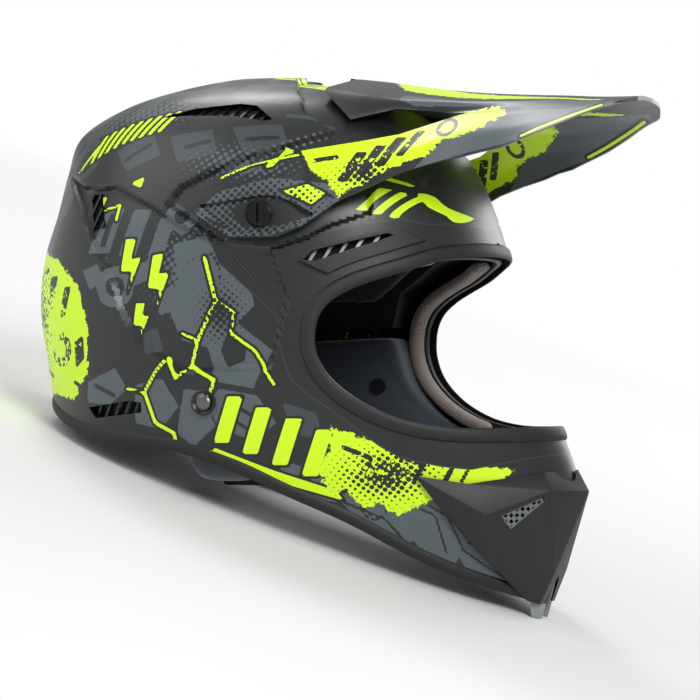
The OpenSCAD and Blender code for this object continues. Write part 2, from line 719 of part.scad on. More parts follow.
stand() peak_screw_centre();
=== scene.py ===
# %% [markdown]
# A motocross helmet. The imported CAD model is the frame: it says where everything
# is and how it moves. This lesson gives each part the surface of the real one.
# Where a CAD solid is too coarse or too plain, a finer piece takes its place.

# %% Load the frame
import math
import bpy
import bmesh
import numpy as np
from mathutils import Matrix, Vector

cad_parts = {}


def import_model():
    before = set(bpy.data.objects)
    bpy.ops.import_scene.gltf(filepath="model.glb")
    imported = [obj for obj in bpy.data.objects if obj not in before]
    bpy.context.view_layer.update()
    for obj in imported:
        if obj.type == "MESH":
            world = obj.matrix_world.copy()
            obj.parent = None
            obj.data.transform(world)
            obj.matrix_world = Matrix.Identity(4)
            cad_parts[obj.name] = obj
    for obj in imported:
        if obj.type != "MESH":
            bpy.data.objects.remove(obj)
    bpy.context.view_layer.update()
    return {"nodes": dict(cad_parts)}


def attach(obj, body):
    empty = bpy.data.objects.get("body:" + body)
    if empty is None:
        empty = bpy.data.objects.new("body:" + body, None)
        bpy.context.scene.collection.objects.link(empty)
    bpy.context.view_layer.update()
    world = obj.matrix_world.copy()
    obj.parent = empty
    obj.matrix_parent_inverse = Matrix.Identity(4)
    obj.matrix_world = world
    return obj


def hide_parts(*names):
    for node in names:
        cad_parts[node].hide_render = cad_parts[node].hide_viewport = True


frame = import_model()
MM = 0.001

# %% [markdown]
# A helmet is designed level, as it is worn, and then leans back to stand on its
# lower edge. Every shape here is written in that level "ride" frame, in
# millimetres, and turned into the standing frame once, when its mesh is made.

# %% Ride frame and standing frame
TILT = math.radians(21.5)
SHIFT = np.array([-60.1, 0.0, 115.6])
COS, SIN = math.cos(TILT), math.sin(TILT)
TURN = np.array([[COS, 0, -SIN], [0, 1, 0], [SIN, 0, COS]])


def stand(p):
    """Ride frame in mm to the standing frame in metres."""
    return (np.asarray(p, float) @ TURN.T + SHIFT) * MM


def ride(p):
    """Standing frame in metres to the ride frame in mm."""
    return (np.asarray(p, float) / MM - SHIFT) @ TURN


# %% [markdown]
# The shell is a loft. Each row gives a height, how far it reaches forward and
# back, half its width, and how square it is in front and behind. The CAD part
# has the same rows; here they are sampled finely enough to look smooth.

# %% The shell's form
CROWN = 130.5
FORM = np.array([
    [129.5, 50, -4, 22, 2.0, 2.0], [126.5, 68, 14, 42, 2.0, 2.0],
    [120.5, 90, 44, 64, 2.1, 2.1], [110, 111, 76, 86, 2.2, 2.2],
    [93, 127, 102, 103, 2.2, 2.3], [70, 143, 109, 115, 2.2, 2.3],
    [45, 154, 115, 122, 2.2, 2.3], [18, 163, 124, 125, 2.1, 2.3],
    [-12, 171, 127, 126, 2.0, 2.3], [-45, 182, 122, 125, 1.9, 2.3],
    [-78, 196, 117, 121, 1.75, 2.3], [-108, 208, 112, 115, 1.65, 2.3],
    [-128, 213, 106, 109, 1.6, 2.3], [-160, 202, 98, 102, 1.6, 2.3],
    [-190, 193, 90, 95, 1.6, 2.3], [-215, 186, 80, 90, 1.6, 2.3]])
LAST = len(FORM) - 1


def spline(rows, t):
    """Smooth curve through rows, at parameters t."""
    rows = np.asarray(rows, float)
    n = len(rows) - 1
    t = np.asarray(t, float)
    i = np.clip(np.floor(t).astype(int), 0, n - 1)
    f = (t - i)[..., None]
    a, b = rows[np.maximum(i - 1, 0)], rows[i]
    c, d = rows[i + 1], rows[np.minimum(i + 2, n)]
    return 0.5 * (2 * b + (c - a) * f + (2 * a - 5 * b + 4 * c - d) * f * f
                  + (3 * b - a - 3 * c + d) * f ** 3)


def power(v, e):
    return np.sign(v) * np.abs(v) ** e


def middle(s):
    return np.where(s[..., 1] + s[..., 2] > 0, 0.18 * (s[..., 1] - s[..., 2]), 0.0)


def skin(t, a):
    """Outer surface: t runs down the rows, a round from the front."""
    s = spline(FORM, t)
    m, c = middle(s), np.cos(a)
    r = np.where(c >= 0, s[..., 1] - m, s[..., 2] + m)
    n = np.where(c >= 0, s[..., 4], s[..., 5])
    return np.stack([m + r * power(c, 2 / n), s[..., 3] * power(np.sin(a), 2 / n),
                     s[..., 0]], -1)


def outward(t, a):
    u = skin(np.minimum(t + 0.05, LAST), a) - skin(np.maximum(t - 0.05, 0), a)
    v = skin(t, a + 0.017) - skin(t, a - 0.017)
    n = np.cross(u, v)
    return n / np.linalg.norm(n, axis=-1, keepdims=True)


LEVELS = np.linspace(LAST, 0, 900)
HEIGHTS = spline(FORM, LEVELS)[:, 0]


def place_on(x, z):
    """(t, a) of the surface point at station x and height z, on the +Y side."""
    t = np.interp(z, HEIGHTS, LEVELS)
    s = spline(FORM, t)
    m = middle(s)
    front = x >= m
    r = np.where(front, s[..., 1] - m, s[..., 2] + m)
    n = np.where(front, s[..., 4], s[..., 5])
    c = np.clip(np.abs(x - m) / r, 0, 1) ** (n / 2)
    return t, np.where(front, np.arccos(c), math.pi - np.arccos(c))


print("form of", len(FORM), "rows")

# %% [markdown]
# Meshes come from arrays of points. A grid of points becomes quads; two grids a
# wall apart, joined at their rims, make a closed plate. Cuts are Booleans with
# Blender's manifold solver, which is quick on closed meshes.

# %% Mesh helpers
def mesh_object(name, points, faces):
    data = bpy.data.meshes.new(name)
    data.from_pydata(stand(points).tolist(), [], faces)
    data.validate()
    o = bpy.data.objects.new(name, data)
    bpy.context.scene.collection.objects.link(o)
    return o


def grid_faces(rows, cols, wrap, start=0, flip=False):
    i = np.arange(rows - 1)[:, None]
    j = np.arange(cols if wrap else cols - 1)[None, :]
    k = (j + 1) % cols
    q = np.stack([i * cols + j, i * cols + k, (i + 1) * cols + k, (i + 1) * cols + j], -1)
    q = q.reshape(-1, 4) + start
    return (q[:, ::-1] if flip else q).tolist()


def plate(name, outer, inner):
    """Closed plate between two open grids of the same size."""
    rows, cols = outer.shape[:2]
    n = rows * cols
    faces = grid_faces(rows, cols, False, flip=True) + grid_faces(rows, cols, False, n)
    rim = ([i for i in range(cols)] + [i * cols + cols - 1 for i in range(1, rows)]
           + [(rows - 1) * cols + j for j in range(cols - 2, -1, -1)]
           + [i * cols for i in range(rows - 2, 0, -1)])
    for a, b in zip(rim, rim[1:] + rim[:1]):
        faces.append([a, b, b + n, a + n])
    o = mesh_object(name, np.concatenate([outer.reshape(-1, 3), inner.reshape(-1, 3)]), faces)
    face_out(o)
    return o


def face_out(o):
    bm = bmesh.new()
    bm.from_mesh(o.data)
    bmesh.ops.recalc_face_normals(bm, faces=bm.faces)
    bm.to_mesh(o.data)
    bm.free()


def prism(outline, y0=-160, y1=160, name="cutter"):
    """Closed prism along Y with a side outline of [x, z]."""
    p = np.asarray(outline, float)
    n = len(p)
    pts = np.concatenate([np.c_[p[:, 0], np.full(n, y), p[:, 1]] for y in (y0, y1)])
    faces = [list(range(n)), list(range(2 * n - 1, n - 1, -1))]
    faces += [[i, i + n, (i + 1) % n + n, (i + 1) % n] for i in range(n)]
    o = mesh_object(name, pts, faces)
    face_out(o)
    return o


def settle(o):
    """Applies o's modifiers to its mesh."""
    graph = bpy.context.evaluated_depsgraph_get()
    data = bpy.data.meshes.new_from_object(o.evaluated_get(graph))
    o.modifiers.clear()
    o.data = data
    return o


def cut(o, tool, way="DIFFERENCE"):
    m = o.modifiers.new("cut", "BOOLEAN")
    m.operation, m.object, m.solver = way, tool, "MANIFOLD"
    settle(o)
    bpy.data.objects.remove(tool)
    return o


def finish_piece(o, body, material, angle=32, nodes=()):
    for p in o.data.polygons:
        p.use_smooth = True
    o.data.set_sharp_from_angle(angle=math.radians(angle))
    o.data.materials.clear()
    o.data.materials.append(material)
    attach(o, body)
    if nodes:
        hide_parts(*nodes)
    print("piece", o.name, len(o.data.polygons), "faces")
    return o


# %% [markdown]
# The paint is a stack of flat shapes, like cut vinyl: greys under a loud yellow.
# For every point of the mesh the distance to each shape is stored, and the
# material compares that distance with zero. The edges stay crisp at any zoom,
# and one distance can give a fill, an outline and a ragged edge.

# %% Distances to flat shapes
def to_polygon(p, corners):
    c = np.asarray(corners, float)
    d = np.full(len(p), 1e9)
    inside = np.zeros(len(p), bool)
    for a, b in zip(c, np.roll(c, -1, 0)):
        e, w = b - a, p - a
        h = np.clip((w @ e) / (e @ e + 1e-9), 0, 1)
        d = np.minimum(d, ((w - h[:, None] * e) ** 2).sum(1))
        across = (a[1] > p[:, 1]) != (b[1] > p[:, 1])
        inside ^= across & (p[:, 0] < e[0] * (p[:, 1] - a[1]) / (e[1] + 1e-9) + a[0])
    return np.where(inside, -1, 1) * np.sqrt(d)


def to_line(p, pts, w):
    d = np.full(len(p), 1e9)
    pts = np.asarray(pts, float)
    for a, b in zip(pts[:-1], pts[1:]):
        e, q = b - a, p - a
        h = np.clip((q @ e) / (e @ e + 1e-9), 0, 1)
        d = np.minimum(d, ((q - h[:, None] * e) ** 2).sum(1))
    return np.sqrt(d) - w


def to_ring(p, centre, r, w):
    return np.abs(np.linalg.norm(p - np.asarray(centre, float), axis=1) - r) - w


def slash(x, z, w, h, lean):
    """Leaning bar centred on (x, z)."""
    return [(x - w + lean, z + h), (x + w + lean, z + h), (x + w - lean, z - h),
            (x - w - lean, z - h)]


def to_shapes(p, shapes):
    """Distance to the nearest of a list of shapes; far points are skipped."""
    d = np.full(len(p), 40.0)
    for shape in shapes:
        kind, data = (shape[0], shape[1:]) if isinstance(shape[0], str) else ("area", (shape,))
        pts = np.atleast_2d(np.asarray(data[0], float))
        grow = (data[1] if kind == "ring" else 0) + 40
        near = ((p > pts.min(0) - grow) & (p < pts.max(0) + grow)).all(1)
        q = p[near]
        if kind == "area":
            f = to_polygon(q, pts)
        elif kind == "line":
            f = to_line(q, pts, data[1])
        else:
            f = to_ring(q, data[0], data[1], data[2])
        d[near] = np.minimum(d[near], f)
    return d


def store(o, name, values):
    a = o.data.attributes.new(name, "FLOAT", "POINT")
    a.data.foreach_set("value", np.asarray(values, np.float32))


def points_of(o):
    v = np.empty(len(o.data.vertices) * 3, np.float32)
    o.data.vertices.foreach_get("co", v)
    return ride(v.reshape(-1, 3))


def step_in(d, width):
    """1 inside a shape, 0 outside, smooth over width."""
    h = np.clip(0.5 - d / width, 0, 1)
    return h * h * (3 - 2 * h)


print("shape distances ready")

# %% [markdown]
# Every finish is made of nodes. Effects that several finishes share, such as
# moulded grain, weave, dots and stripes, are node groups that put out a mask, a
# height or a colour. The Principled shader stays in each material.

# %% Node helpers
def rgb(code):
    """Linear colour of a hex code."""
    v = [int(code[i:i + 2], 16) / 255 for i in (0, 2, 4)]
    return tuple(c / 12.92 if c <= 0.04045 else ((c + 0.055) / 1.055) ** 2.4 for c in v) + (1,)


def add(tree, kind, inputs=None, **settings):
    n = tree.nodes.new(kind)
    for key, value in settings.items():
        setattr(n, key, value)
    for key, value in (inputs or {}).items():
        if isinstance(value, bpy.types.NodeSocket):
            tree.links.new(value, n.inputs[key])
        else:
            n.inputs[key].default_value = value
    return n


def calc(tree, op, a, b=0.0, clamp=False):
    return add(tree, "ShaderNodeMath", {0: a, 1: b}, operation=op, use_clamp=clamp).outputs[0]


def new_group(name, takes, gives):
    """Node group with named sockets; returns (group, its input sockets, its output node)."""
    g = bpy.data.node_groups.new(name, "ShaderNodeTree")
    kinds = {"v": "NodeSocketVector", "f": "NodeSocketFloat", "c": "NodeSocketColor"}
    for key, kind, value in takes:
        s = g.interface.new_socket(key, in_out="INPUT", socket_type=kinds[kind])
        if kind == "f":
            s.default_value = value
    for key, kind in gives:
        g.interface.new_socket(key, in_out="OUTPUT", socket_type=kinds[kind])
    return g, g.nodes.new("NodeGroupInput").outputs, g.nodes.new("NodeGroupOutput")


def use(tree, group, inputs):
    n = tree.nodes.new("ShaderNodeGroup")
    n.node_tree = group
    for key, value in inputs.items():
        if isinstance(value, bpy.types.NodeSocket):
            tree.links.new(value, n.inputs[key])
        else:
            n.inputs[key].default_value = value
    return n.outputs


# %% [markdown]
# The first group turns an object's own coordinates back into the ride frame in
# millimetres. Patterns then have real sizes and stay put when a part moves.

# %% Shared groups
def ride_group():
    g, i, out = new_group("ride_place", [("Object", "v", 0)], [("Place", "v")])
    mm = add(g, "ShaderNodeVectorMath", {0: i["Object"], 3: 1000.0}, operation="SCALE").outputs[0]
    off = add(g, "ShaderNodeVectorMath", {0: mm, 1: tuple(-SHIFT)}, operation="ADD").outputs[0]
    turn = add(g, "ShaderNodeVectorRotate", {"Vector": off, "Angle": TILT},
               rotation_type="Y_AXIS").outputs[0]
    g.links.new(turn, out.inputs["Place"])
    return g


def flat_turn(g, place, angle):
    """Side-view coordinates of place, turned by angle: (along, across)."""
    turned = add(g, "ShaderNodeVectorRotate", {"Vector": place, "Angle": angle},
                 rotation_type="Y_AXIS").outputs[0]
    s = add(g, "ShaderNodeSeparateXYZ", {0: turned}).outputs
    return s["X"], s["Z"]


def dots_group():
    g, i, out = new_group("dots", [("Place", "v", 0), ("Pitch", "f", 4), ("Turn", "f", 0.6),
                                   ("Weight", "f", 1)], [("Mask", "f")])
    u, v = flat_turn(g, i["Place"], i["Turn"])
    fu, fv = [calc(g, "SUBTRACT", calc(g, "FRACT", calc(g, "DIVIDE", w, i["Pitch"])), 0.5)
              for w in (u, v)]
    r = calc(g, "SQRT", calc(g, "ADD", calc(g, "MULTIPLY", fu, fu), calc(g, "MULTIPLY", fv, fv)))
    g.links.new(calc(g, "LESS_THAN", r, calc(g, "MULTIPLY", i["Weight"], 0.62)),
                out.inputs["Mask"])
    return g


def stripes_group():
    g, i, out = new_group("stripes", [("Place", "v", 0), ("Pitch", "f", 4), ("Turn", "f", 0.8),
                                      ("Share", "f", 0.5)], [("Mask", "f")])
    u, _ = flat_turn(g, i["Place"], i["Turn"])
    g.links.new(calc(g, "LESS_THAN", calc(g, "FRACT", calc(g, "DIVIDE", u, i["Pitch"])),
                     i["Share"]), out.inputs["Mask"])
    return g


def noise(g, place, scale, detail=3.0, rough=0.5):
    return add(g, "ShaderNodeTexNoise", {"Vector": place, "Scale": scale, "Detail": detail,
                                         "Roughness": rough}).outputs[0]


def ragged_group():
    g, i, out = new_group("ragged", [("Distance", "f", 0), ("Place", "v", 0), ("Size", "f", 4),
                                     ("Amount", "f", 2)], [("Distance", "f")])
    n = noise(g, i["Place"], calc(g, "DIVIDE", 1.0, i["Size"]), 4.0, 0.7)
    push = calc(g, "MULTIPLY", calc(g, "SUBTRACT", n, 0.5), calc(g, "MULTIPLY", i["Amount"], 4.0))
    g.links.new(calc(g, "ADD", i["Distance"], push), out.inputs["Distance"])
    return g


def grain_group():
    """Moulded or fuzzy grain: a height, and a slow patchiness for colour and gloss."""
    g, i, out = new_group("grain", [("Place", "v", 0), ("Size", "f", 1)],
                          [("Height", "f"), ("Patches", "f")])
    fine = noise(g, i["Place"], calc(g, "DIVIDE", 1.0, i["Size"]), 4.0, 0.6)
    cells = add(g, "ShaderNodeTexVoronoi", {"Vector": i["Place"],
                "Scale": calc(g, "DIVIDE", 1.4, i["Size"])}).outputs["Distance"]
    g.links.new(calc(g, "ADD", calc(g, "MULTIPLY", fine, 0.6), calc(g, "MULTIPLY", cells, 0.4)),
                out.inputs["Height"])
    g.links.new(noise(g, i["Place"], 0.03, 3.0), out.inputs["Patches"])
    return g


def weave_group():
    """Plain weave: a height, and a mask of the gaps between the threads."""
    g, i, out = new_group("weave", [("Place", "v", 0), ("Pitch", "f", 1.2)],
                          [("Height", "f"), ("Gaps", "f")])
    s = add(g, "ShaderNodeSeparateXYZ", {0: i["Place"]}).outputs
    k = calc(g, "DIVIDE", math.tau, i["Pitch"])
    across = calc(g, "ADD", s["Y"], calc(g, "MULTIPLY", s["Z"], 0.9))
    waves = [calc(g, "SINE", calc(g, "MULTIPLY", w, k)) for w in (s["X"], across)]
    h = calc(g, "MULTIPLY", waves[0], waves[1])
    g.links.new(calc(g, "ADD", calc(g, "MULTIPLY", h, 0.5), 0.5), out.inputs["Height"])
    g.links.new(calc(g, "GREATER_THAN", calc(g, "MULTIPLY", h, -1.0), 0.55), out.inputs["Gaps"])
    return g


def layer_group():
    """Lays a colour over another wherever the distance is less than the edge."""
    g, i, out = new_group("layer", [("Under", "c", 0), ("Over", "c", 0), ("Distance", "f", 0),
                                    ("Edge", "f", 0)], [("Color", "c")])
    inside = calc(g, "LESS_THAN", i["Distance"], i["Edge"])
    mix = add(g, "ShaderNodeMix", {0: inside, 6: i["Under"], 7: i["Over"]}, data_type="RGBA")
    g.links.new(mix.outputs[2], out.inputs["Color"])
    return g


RIDE, DOTS, STRIPES, RAGGED = ride_group(), dots_group(), stripes_group(), ragged_group()
GRAIN, WEAVE, LAYER = grain_group(), weave_group(), layer_group()
print("node groups", len(bpy.data.node_groups))

# %% [markdown]
# Most parts of a helmet are one colour but never flat: matte mouldings have a
# fine spark-eroded grain, foam has beads, fabric has threads. One function makes
# such a finish from a colour, a pattern and its size.

# %% Plain finishes
def material(name, **sockets):
    m = bpy.data.materials.new(name)
    m.use_nodes = True
    tree = m.node_tree
    shader = tree.nodes["Principled BSDF"]
    for key, value in sockets.items():
        shader.inputs[key.replace("_", " ")].default_value = value
    place = use(tree, RIDE, {"Object": add(tree, "ShaderNodeTexCoord").outputs["Object"]})["Place"]
    return m, tree, shader, place


def mixed(tree, share, a, b):
    return add(tree, "ShaderNodeMix", {0: share, 6: a, 7: b}, data_type="RGBA").outputs[2]


def bump(tree, shader, height, strength, depth_mm):
    n = add(tree, "ShaderNodeBump", {"Height": height, "Strength": strength,
                                     "Distance": depth_mm * MM})
    tree.links.new(n.outputs[0], shader.inputs["Normal"])


def patchy(tree, shader, patches, low, high):
    tree.links.new(calc(tree, "ADD", calc(tree, "MULTIPLY", patches, high - low), low),
                   shader.inputs["Roughness"])


def moulded(name, code, size=0.7, rough=(0.4, 0.6), depth=0.06, **sockets):
    m, tree, shader, place = material(name, **sockets)
    g = use(tree, GRAIN, {"Place": place, "Size": size})
    base = rgb(code)
    dark = tuple(c * 0.8 for c in base[:3]) + (1,)
    tree.links.new(mixed(tree, g["Patches"], dark, base), shader.inputs["Base Color"])
    patchy(tree, shader, g["Patches"], *rough)
    bump(tree, shader, g["Height"], 0.5, depth)
    return m


def woven(name, code, gap_code, pitch, depth, rough=(0.8, 0.95), **sockets):
    m, tree, shader, place = material(name, **sockets)
    w = use(tree, WEAVE, {"Place": place, "Pitch": pitch})
    g = use(tree, GRAIN, {"Place": place, "Size": 0.8})
    thread = mixed(tree, g["Height"], tuple(c * 0.75 for c in rgb(code)[:3]) + (1,), rgb(code))
    tree.links.new(mixed(tree, w["Gaps"], thread, rgb(gap_code)), shader.inputs["Base Color"])
    patchy(tree, shader, g["Patches"], *rough)
    bump(tree, shader, w["Height"], 0.8, depth)
    return m


BLACK_PLASTIC = moulded("black_moulding", "17181a", 0.8, (0.42, 0.58), 0.08)
SMOOTH_BLACK = moulded("smooth_black", "121314", 1.6, (0.3, 0.42), 0.03)
RUBBER = moulded("rubber", "141516", 0.6, (0.5, 0.65), 0.05)
GREY_TRIM = moulded("grey_trim", "8f9497", 0.8, (0.4, 0.5), 0.05)
FOAM = moulded("bead_foam", "1f2022", 4.5, (0.75, 0.9), 0.5)
PLUSH = moulded("brushed_cloth", "3a4049", 0.5, (0.85, 0.98), 0.25, Sheen_Weight=0.6,
                Sheen_Roughness=0.4)
AIR_KNIT = woven("air_knit", "2b2e33", "0b0c0d", 2.6, 0.5, Sheen_Weight=0.3)
PIPING_KNIT = woven("piping_knit", "9a8c84", "4b423e", 1.7, 0.5, Sheen_Weight=0.3)
WEBBING = woven("webbing", "1b1c1e", "08080a", 1.5, 0.35)
BLACK_MESH = moulded("black_mesh", "0e0f10", 0.8, (0.35, 0.5), 0.03)
STEEL_MESH = moulded("steel_mesh", "8e9294", 0.8, (0.28, 0.4), 0.03, Metallic=0.9)
PLATED = moulded("plated_steel", "b9bcbe", 2.0, (0.16, 0.26), 0.02, Metallic=1.0)
RIVET_STEEL = moulded("satin_rivet", "75736f", 0.7, (0.3, 0.42), 0.03, Metallic=1.0)
COATED_SCREW = moulded("coated_screw", "1a1a1b", 0.9, (0.25, 0.35), 0.03, Metallic=0.6)
print("finishes", len(bpy.data.materials))

# %% [markdown]
# The outlines in side view: the eyeport, the lower edge, the sunk panel behind
# the peak's screw, and the vents. They are the CAD part's own outlines, because
# the trims, vents and cover all have to meet the same edges.

# %% Outlines in side view
EYE = [(166, 24), (146, 19.5), (128, 12), (112, 6), (99, 0), (88, -8), (81.5, -18), (79, -30),
       (80, -43), (86, -57), (97, -69), (112, -79), (132, -87), (155, -91), (178, -91.5),
       (206, -90.5)]
BASE = [(-140, -66), (-112, -72), (-84, -84), (-60, -91), (-30, -95), (0, -99), (34, -110),
        (65, -125), (98, -141), (134, -163), (162, -177), (204, -195)]
LEDGE = [(-84, 66), (-69, 59), (-40, 57), (-15, 45), (5, 33), (25, 24), (40, 21.5), (60, 20),
         (70, -10), (60, -50), (8, -52), (-7, -43), (-19, -35), (-28, -25), (-34, -15),
         (-39, 0), (-57, 29), (-67, 44)]
ARM = [(4, 46), (6, 48.5), (23, 57), (41, 66), (59, 71), (74, 76), (100, 80.5), (100, 46),
       (90, 38.6), (79, 31), (64, 25), (38, 25), (23, 35)]
ARM_BAY = [(-4, 46), (4, 56), (20, 64), (40, 73), (60, 79), (90, 90), (112, 90), (112, 40),
           (92, 32), (80, 25), (65, 19.5), (36, 19.5), (18, 31)]
POCKET = [(18, 44.5), (38, 47), (53, 49.5), (62, 49.5), (72, 46), (86, 38.5), (73, 31),
          (63, 28), (41, 28)]
CROWN_BAY = [(42, 0), (44, 34), (56, 62), (68, 84), (100, 84), (134, 60), (134, 0)]
BROW_PANEL = [(77, 12), (83, 19), (122, 30), (127, 30.5), (144, 21.5), (127, 12.5), (100, 1)]
BROW_SLOT = [(79, 12), (84, 17.5), (122, 28), (125, 27), (118, 23.5), (86, 11.5)]
CROWN_SLOT = [(-19, 99), (2, 104), (30, 106.5), (40, 105), (52, 96), (47, 95), (29, 98.5),
              (1, 99.5)]
EXHAUST = [(-62, 54), (-53, 54), (-48, 34), (-57, 32)]
CHEEK_SLOT = [(-61, -73), (-29, -69), (-21, -70), (-21, -76), (-56, -79.5)]
PIVOT, RIVET = (54, 39), (20, -70)


def smooth(path, per):
    return spline(path, np.linspace(0, len(path) - 1, per * (len(path) - 1) + 1))


def closed_top(path):
    """Outline of everything above an open path."""
    return np.concatenate([path, [(300, 210), (-210, 210), (-210, path[0][1])]])


def eye_outline(per=8):
    return np.concatenate([smooth(EYE, per), [(280, -90.5), (280, 24)]])


print("outlines ready")

# %% [markdown]
# The shell skin is one fine loft, sunk by a few millimetres where the outlines
# say so, with soft shoulders as a moulding has. A second loft inside it makes
# the wall. The eyeport, the lower edge and the vent slots are cut through both.

# %% The shell's mesh
WALL = 5.0


def with_cap(rings, top):
    """Rows from a flat cap on the first ring down through the rings."""
    share = np.array([0.12, 0.3, 0.5, 0.7, 0.86])[:, None, None]
    ring = rings[0][None]
    flat = top + (ring - top) * share
    flat[..., 2] = top[2] - (top[2] - ring[..., 2]) * share[..., 0] ** 1.6
    return np.concatenate([flat, rings])


def closed_loft(name, rings, top, foot):
    rings = with_cap(rings, np.asarray(top, float))
    rows, cols = rings.shape[:2]
    faces = grid_faces(rows, cols, True)
    n = rows * cols
    faces += [[n, (i + 1) % cols, i] for i in range(cols)]
    last = (rows - 1) * cols
    faces += [[n + 1, last + i, last + (i + 1) % cols] for i in range(cols)]
    o = mesh_object(name, np.concatenate([rings.reshape(-1, 3), [top, foot]]), faces)
    face_out(o)
    return o


def sunk(p):
    """Depth of the moulded recesses at surface points p."""
    side = np.abs(p[..., 1]) > 50
    flat = p[..., [0, 2]].reshape(-1, 2)
    plan = np.abs(p[..., :2]).reshape(-1, 2) * np.sign([1, 1])
    plan[:, 0] = p[..., 0].ravel()
    ledge = 4.0 * step_in(to_polygon(flat, LEDGE), 2.4).reshape(side.shape)
    bay = 3.6 * step_in(to_polygon(flat, ARM_BAY), 2.0).reshape(side.shape)
    mirror = CROWN_BAY + [(x, -y) for x, y in CROWN_BAY[::-1]]
    crown = 3.8 * step_in(to_polygon(plan, mirror), 2.0).reshape(side.shape)
    return np.maximum(np.maximum(ledge, bay) * side, crown * (p[..., 2] > 58))


def shell_body(name, depth, rows, cols, shaped=False):
    t = np.linspace(0, LAST, rows)[:, None]
    a = (np.arange(cols) / cols * math.tau)[None, :]
    t, a = np.broadcast_arrays(t, a)
    p = skin(t, a)
    d = depth + (sunk(p) if shaped else 0)
    p = p - outward(t, a) * (d[..., None] if shaped else d)
    return closed_loft(name, p, (24, 0, CROWN - depth - (0 if not shaped else 0)),
                       (50, 0, p[-1, 0, 2]))


def hole(x, z, r, y0, y1):
    a = np.arange(40) / 40 * math.tau
    return prism(np.c_[x + r * np.cos(a), z + r * np.sin(a)], y0, y1)


def shell_mesh():
    o = shell_body("shell_skin", 0.0, 250, 520, True)
    inner = shell_body("inner", WALL, 90, 180)
    block = prism([(200, -300), (300, -300), (300, 300), (200, 300)], -150, 150)
    cut(inner, block)
    cut(o, inner)
    cut(o, prism(closed_top(smooth(BASE, 6))), "INTERSECT")
    cut(o, prism(eye_outline()))
    for sign in (1, -1):
        for outline, near in ((CROWN_SLOT, 76), (BROW_SLOT, 60), (EXHAUST, 90), (CHEEK_SLOT, 95)):
            cut(o, prism(outline, *sorted((sign * near, sign * 140))))
        for (x, z), r in ((PIVOT, 5.2), (RIVET, 3.4)):
            cut(o, hole(x, z, r, *sorted((sign * 80, sign * 140))))
    return o


shell = shell_mesh()
print("shell faces", len(shell.data.polygons))

# %% [markdown]
# The graphics are free shapes in greys and one loud yellow: leaning bars,
# shards, bolts and cracks. They are drawn once in side view and land on both
# sides. Over the crown they follow the arc, so that they don't stretch.

# %% Shapes of the shell's paint
def bars(x, z, step, count, w, h, lean, drop=0.0):
    return [slash(x + step * k, z + drop * k, w, h, lean) for k in range(count)]


def side_place(p):
    """Flat coordinates of the sides; over the crown, height becomes arc length."""
    arc = 135 * np.arctan2(p[:, 2], np.abs(p[:, 1]))
    share = np.clip((p[:, 2] - 40) / 30, 0, 1)
    return np.c_[p[:, 0], p[:, 2] * (1 - share) + arc * share]


SLATE = [
    [(0, 22), (22, 27), (44, 10), (50, -14), (40, -24), (60, -40), (50, -62), (28, -58),
     (22, -38), (6, -34), (-4, -12), (4, 0)],
    [(30, -62), (52, -66), (62, -82), (46, -92), (28, -84), (22, -70)],
    [(-60, -58), (-38, -50), (-30, -62), (-44, -72), (-62, -70)],
    [(-24, -60), (-6, -56), (4, -72), (-8, -86), (-26, -82)],
    [(8, -62), (20, -64), (26, -84), (12, -96), (2, -88)],
    [(92, -124), (116, -118), (136, -140), (128, -156), (104, -140)],
    [(122, -120), (146, -126), (160, -150), (150, -168), (134, -156)],
    [(150, -150), (168, -156), (184, -180), (170, -178), (158, -170)],
    [(60, -104), (82, -108), (92, -128), (72, -124)],
    slash(-46, 32, 7, 14, 5), slash(-26, 30, 6, 14, 5), slash(-8, 26, 5, 12, 4),
    ("ring", (-38, -2), 9, 3.2), ("ring", (6, 38), 7, 2.6),
    [(-62, 8), (-50, 12), (-46, 2), (-56, -4)],
    [(-30, 8), (-14, 14), (-10, 4), (-26, -2)],
    [(-12, -8), (0, -2), (2, -14), (-8, -20)]]
MID = [
    slash(-58, 118, 9, 12, 4), slash(-32, 128, 8, 15, 6), slash(4, 130, 12, 10, 4),
    slash(30, 138, 8, 9, 3), ("ring", (-72, 92), 12, 3.5), ("ring", (-10, 150), 15, 4),
    ("ring", (-50, 158), 10, 3), slash(-84, 60, 5, 16, 5), slash(-96, 34, 5, 14, 4),
    [(-44, 88), (-20, 96), (-12, 80), (-34, 72)], [(-8, 92), (18, 96), (24, 80), (0, 74)],
    [(30, 98), (58, 104), (66, 88), (40, 80)], [(-100, 84), (-84, 100), (-76, 84), (-92, 72)],
    slash(52, 128, 10, 7, 4), slash(14, 170, 14, 9, 6), slash(-34, 186, 16, 8, 5),
    [(-80, 130), (-66, 142), (-58, 130), (-72, 120)], ("ring", (46, 162), 12, 4),
    ("line", [(-94, 112), (-70, 116), (-74, 104)], 1.6), ("line", [(-24, 112), (0, 114)], 1.5),
    ("line", [(-20, 106), (2, 108)], 1.2), ("line", [(60, 112), (84, 116)], 1.5),
    [(-20, -30), (-10, -26), (-6, -40), (-16, -42)], slash(-66, -34, 4, 12, 4),
    [(66, -70), (84, -76), (88, -92), (70, -88)], [(-88, -40), (-74, -36), (-70, -52), (-84, -58)],
    [(40, 48), (60, 60), (48, 66), (30, 58)]]
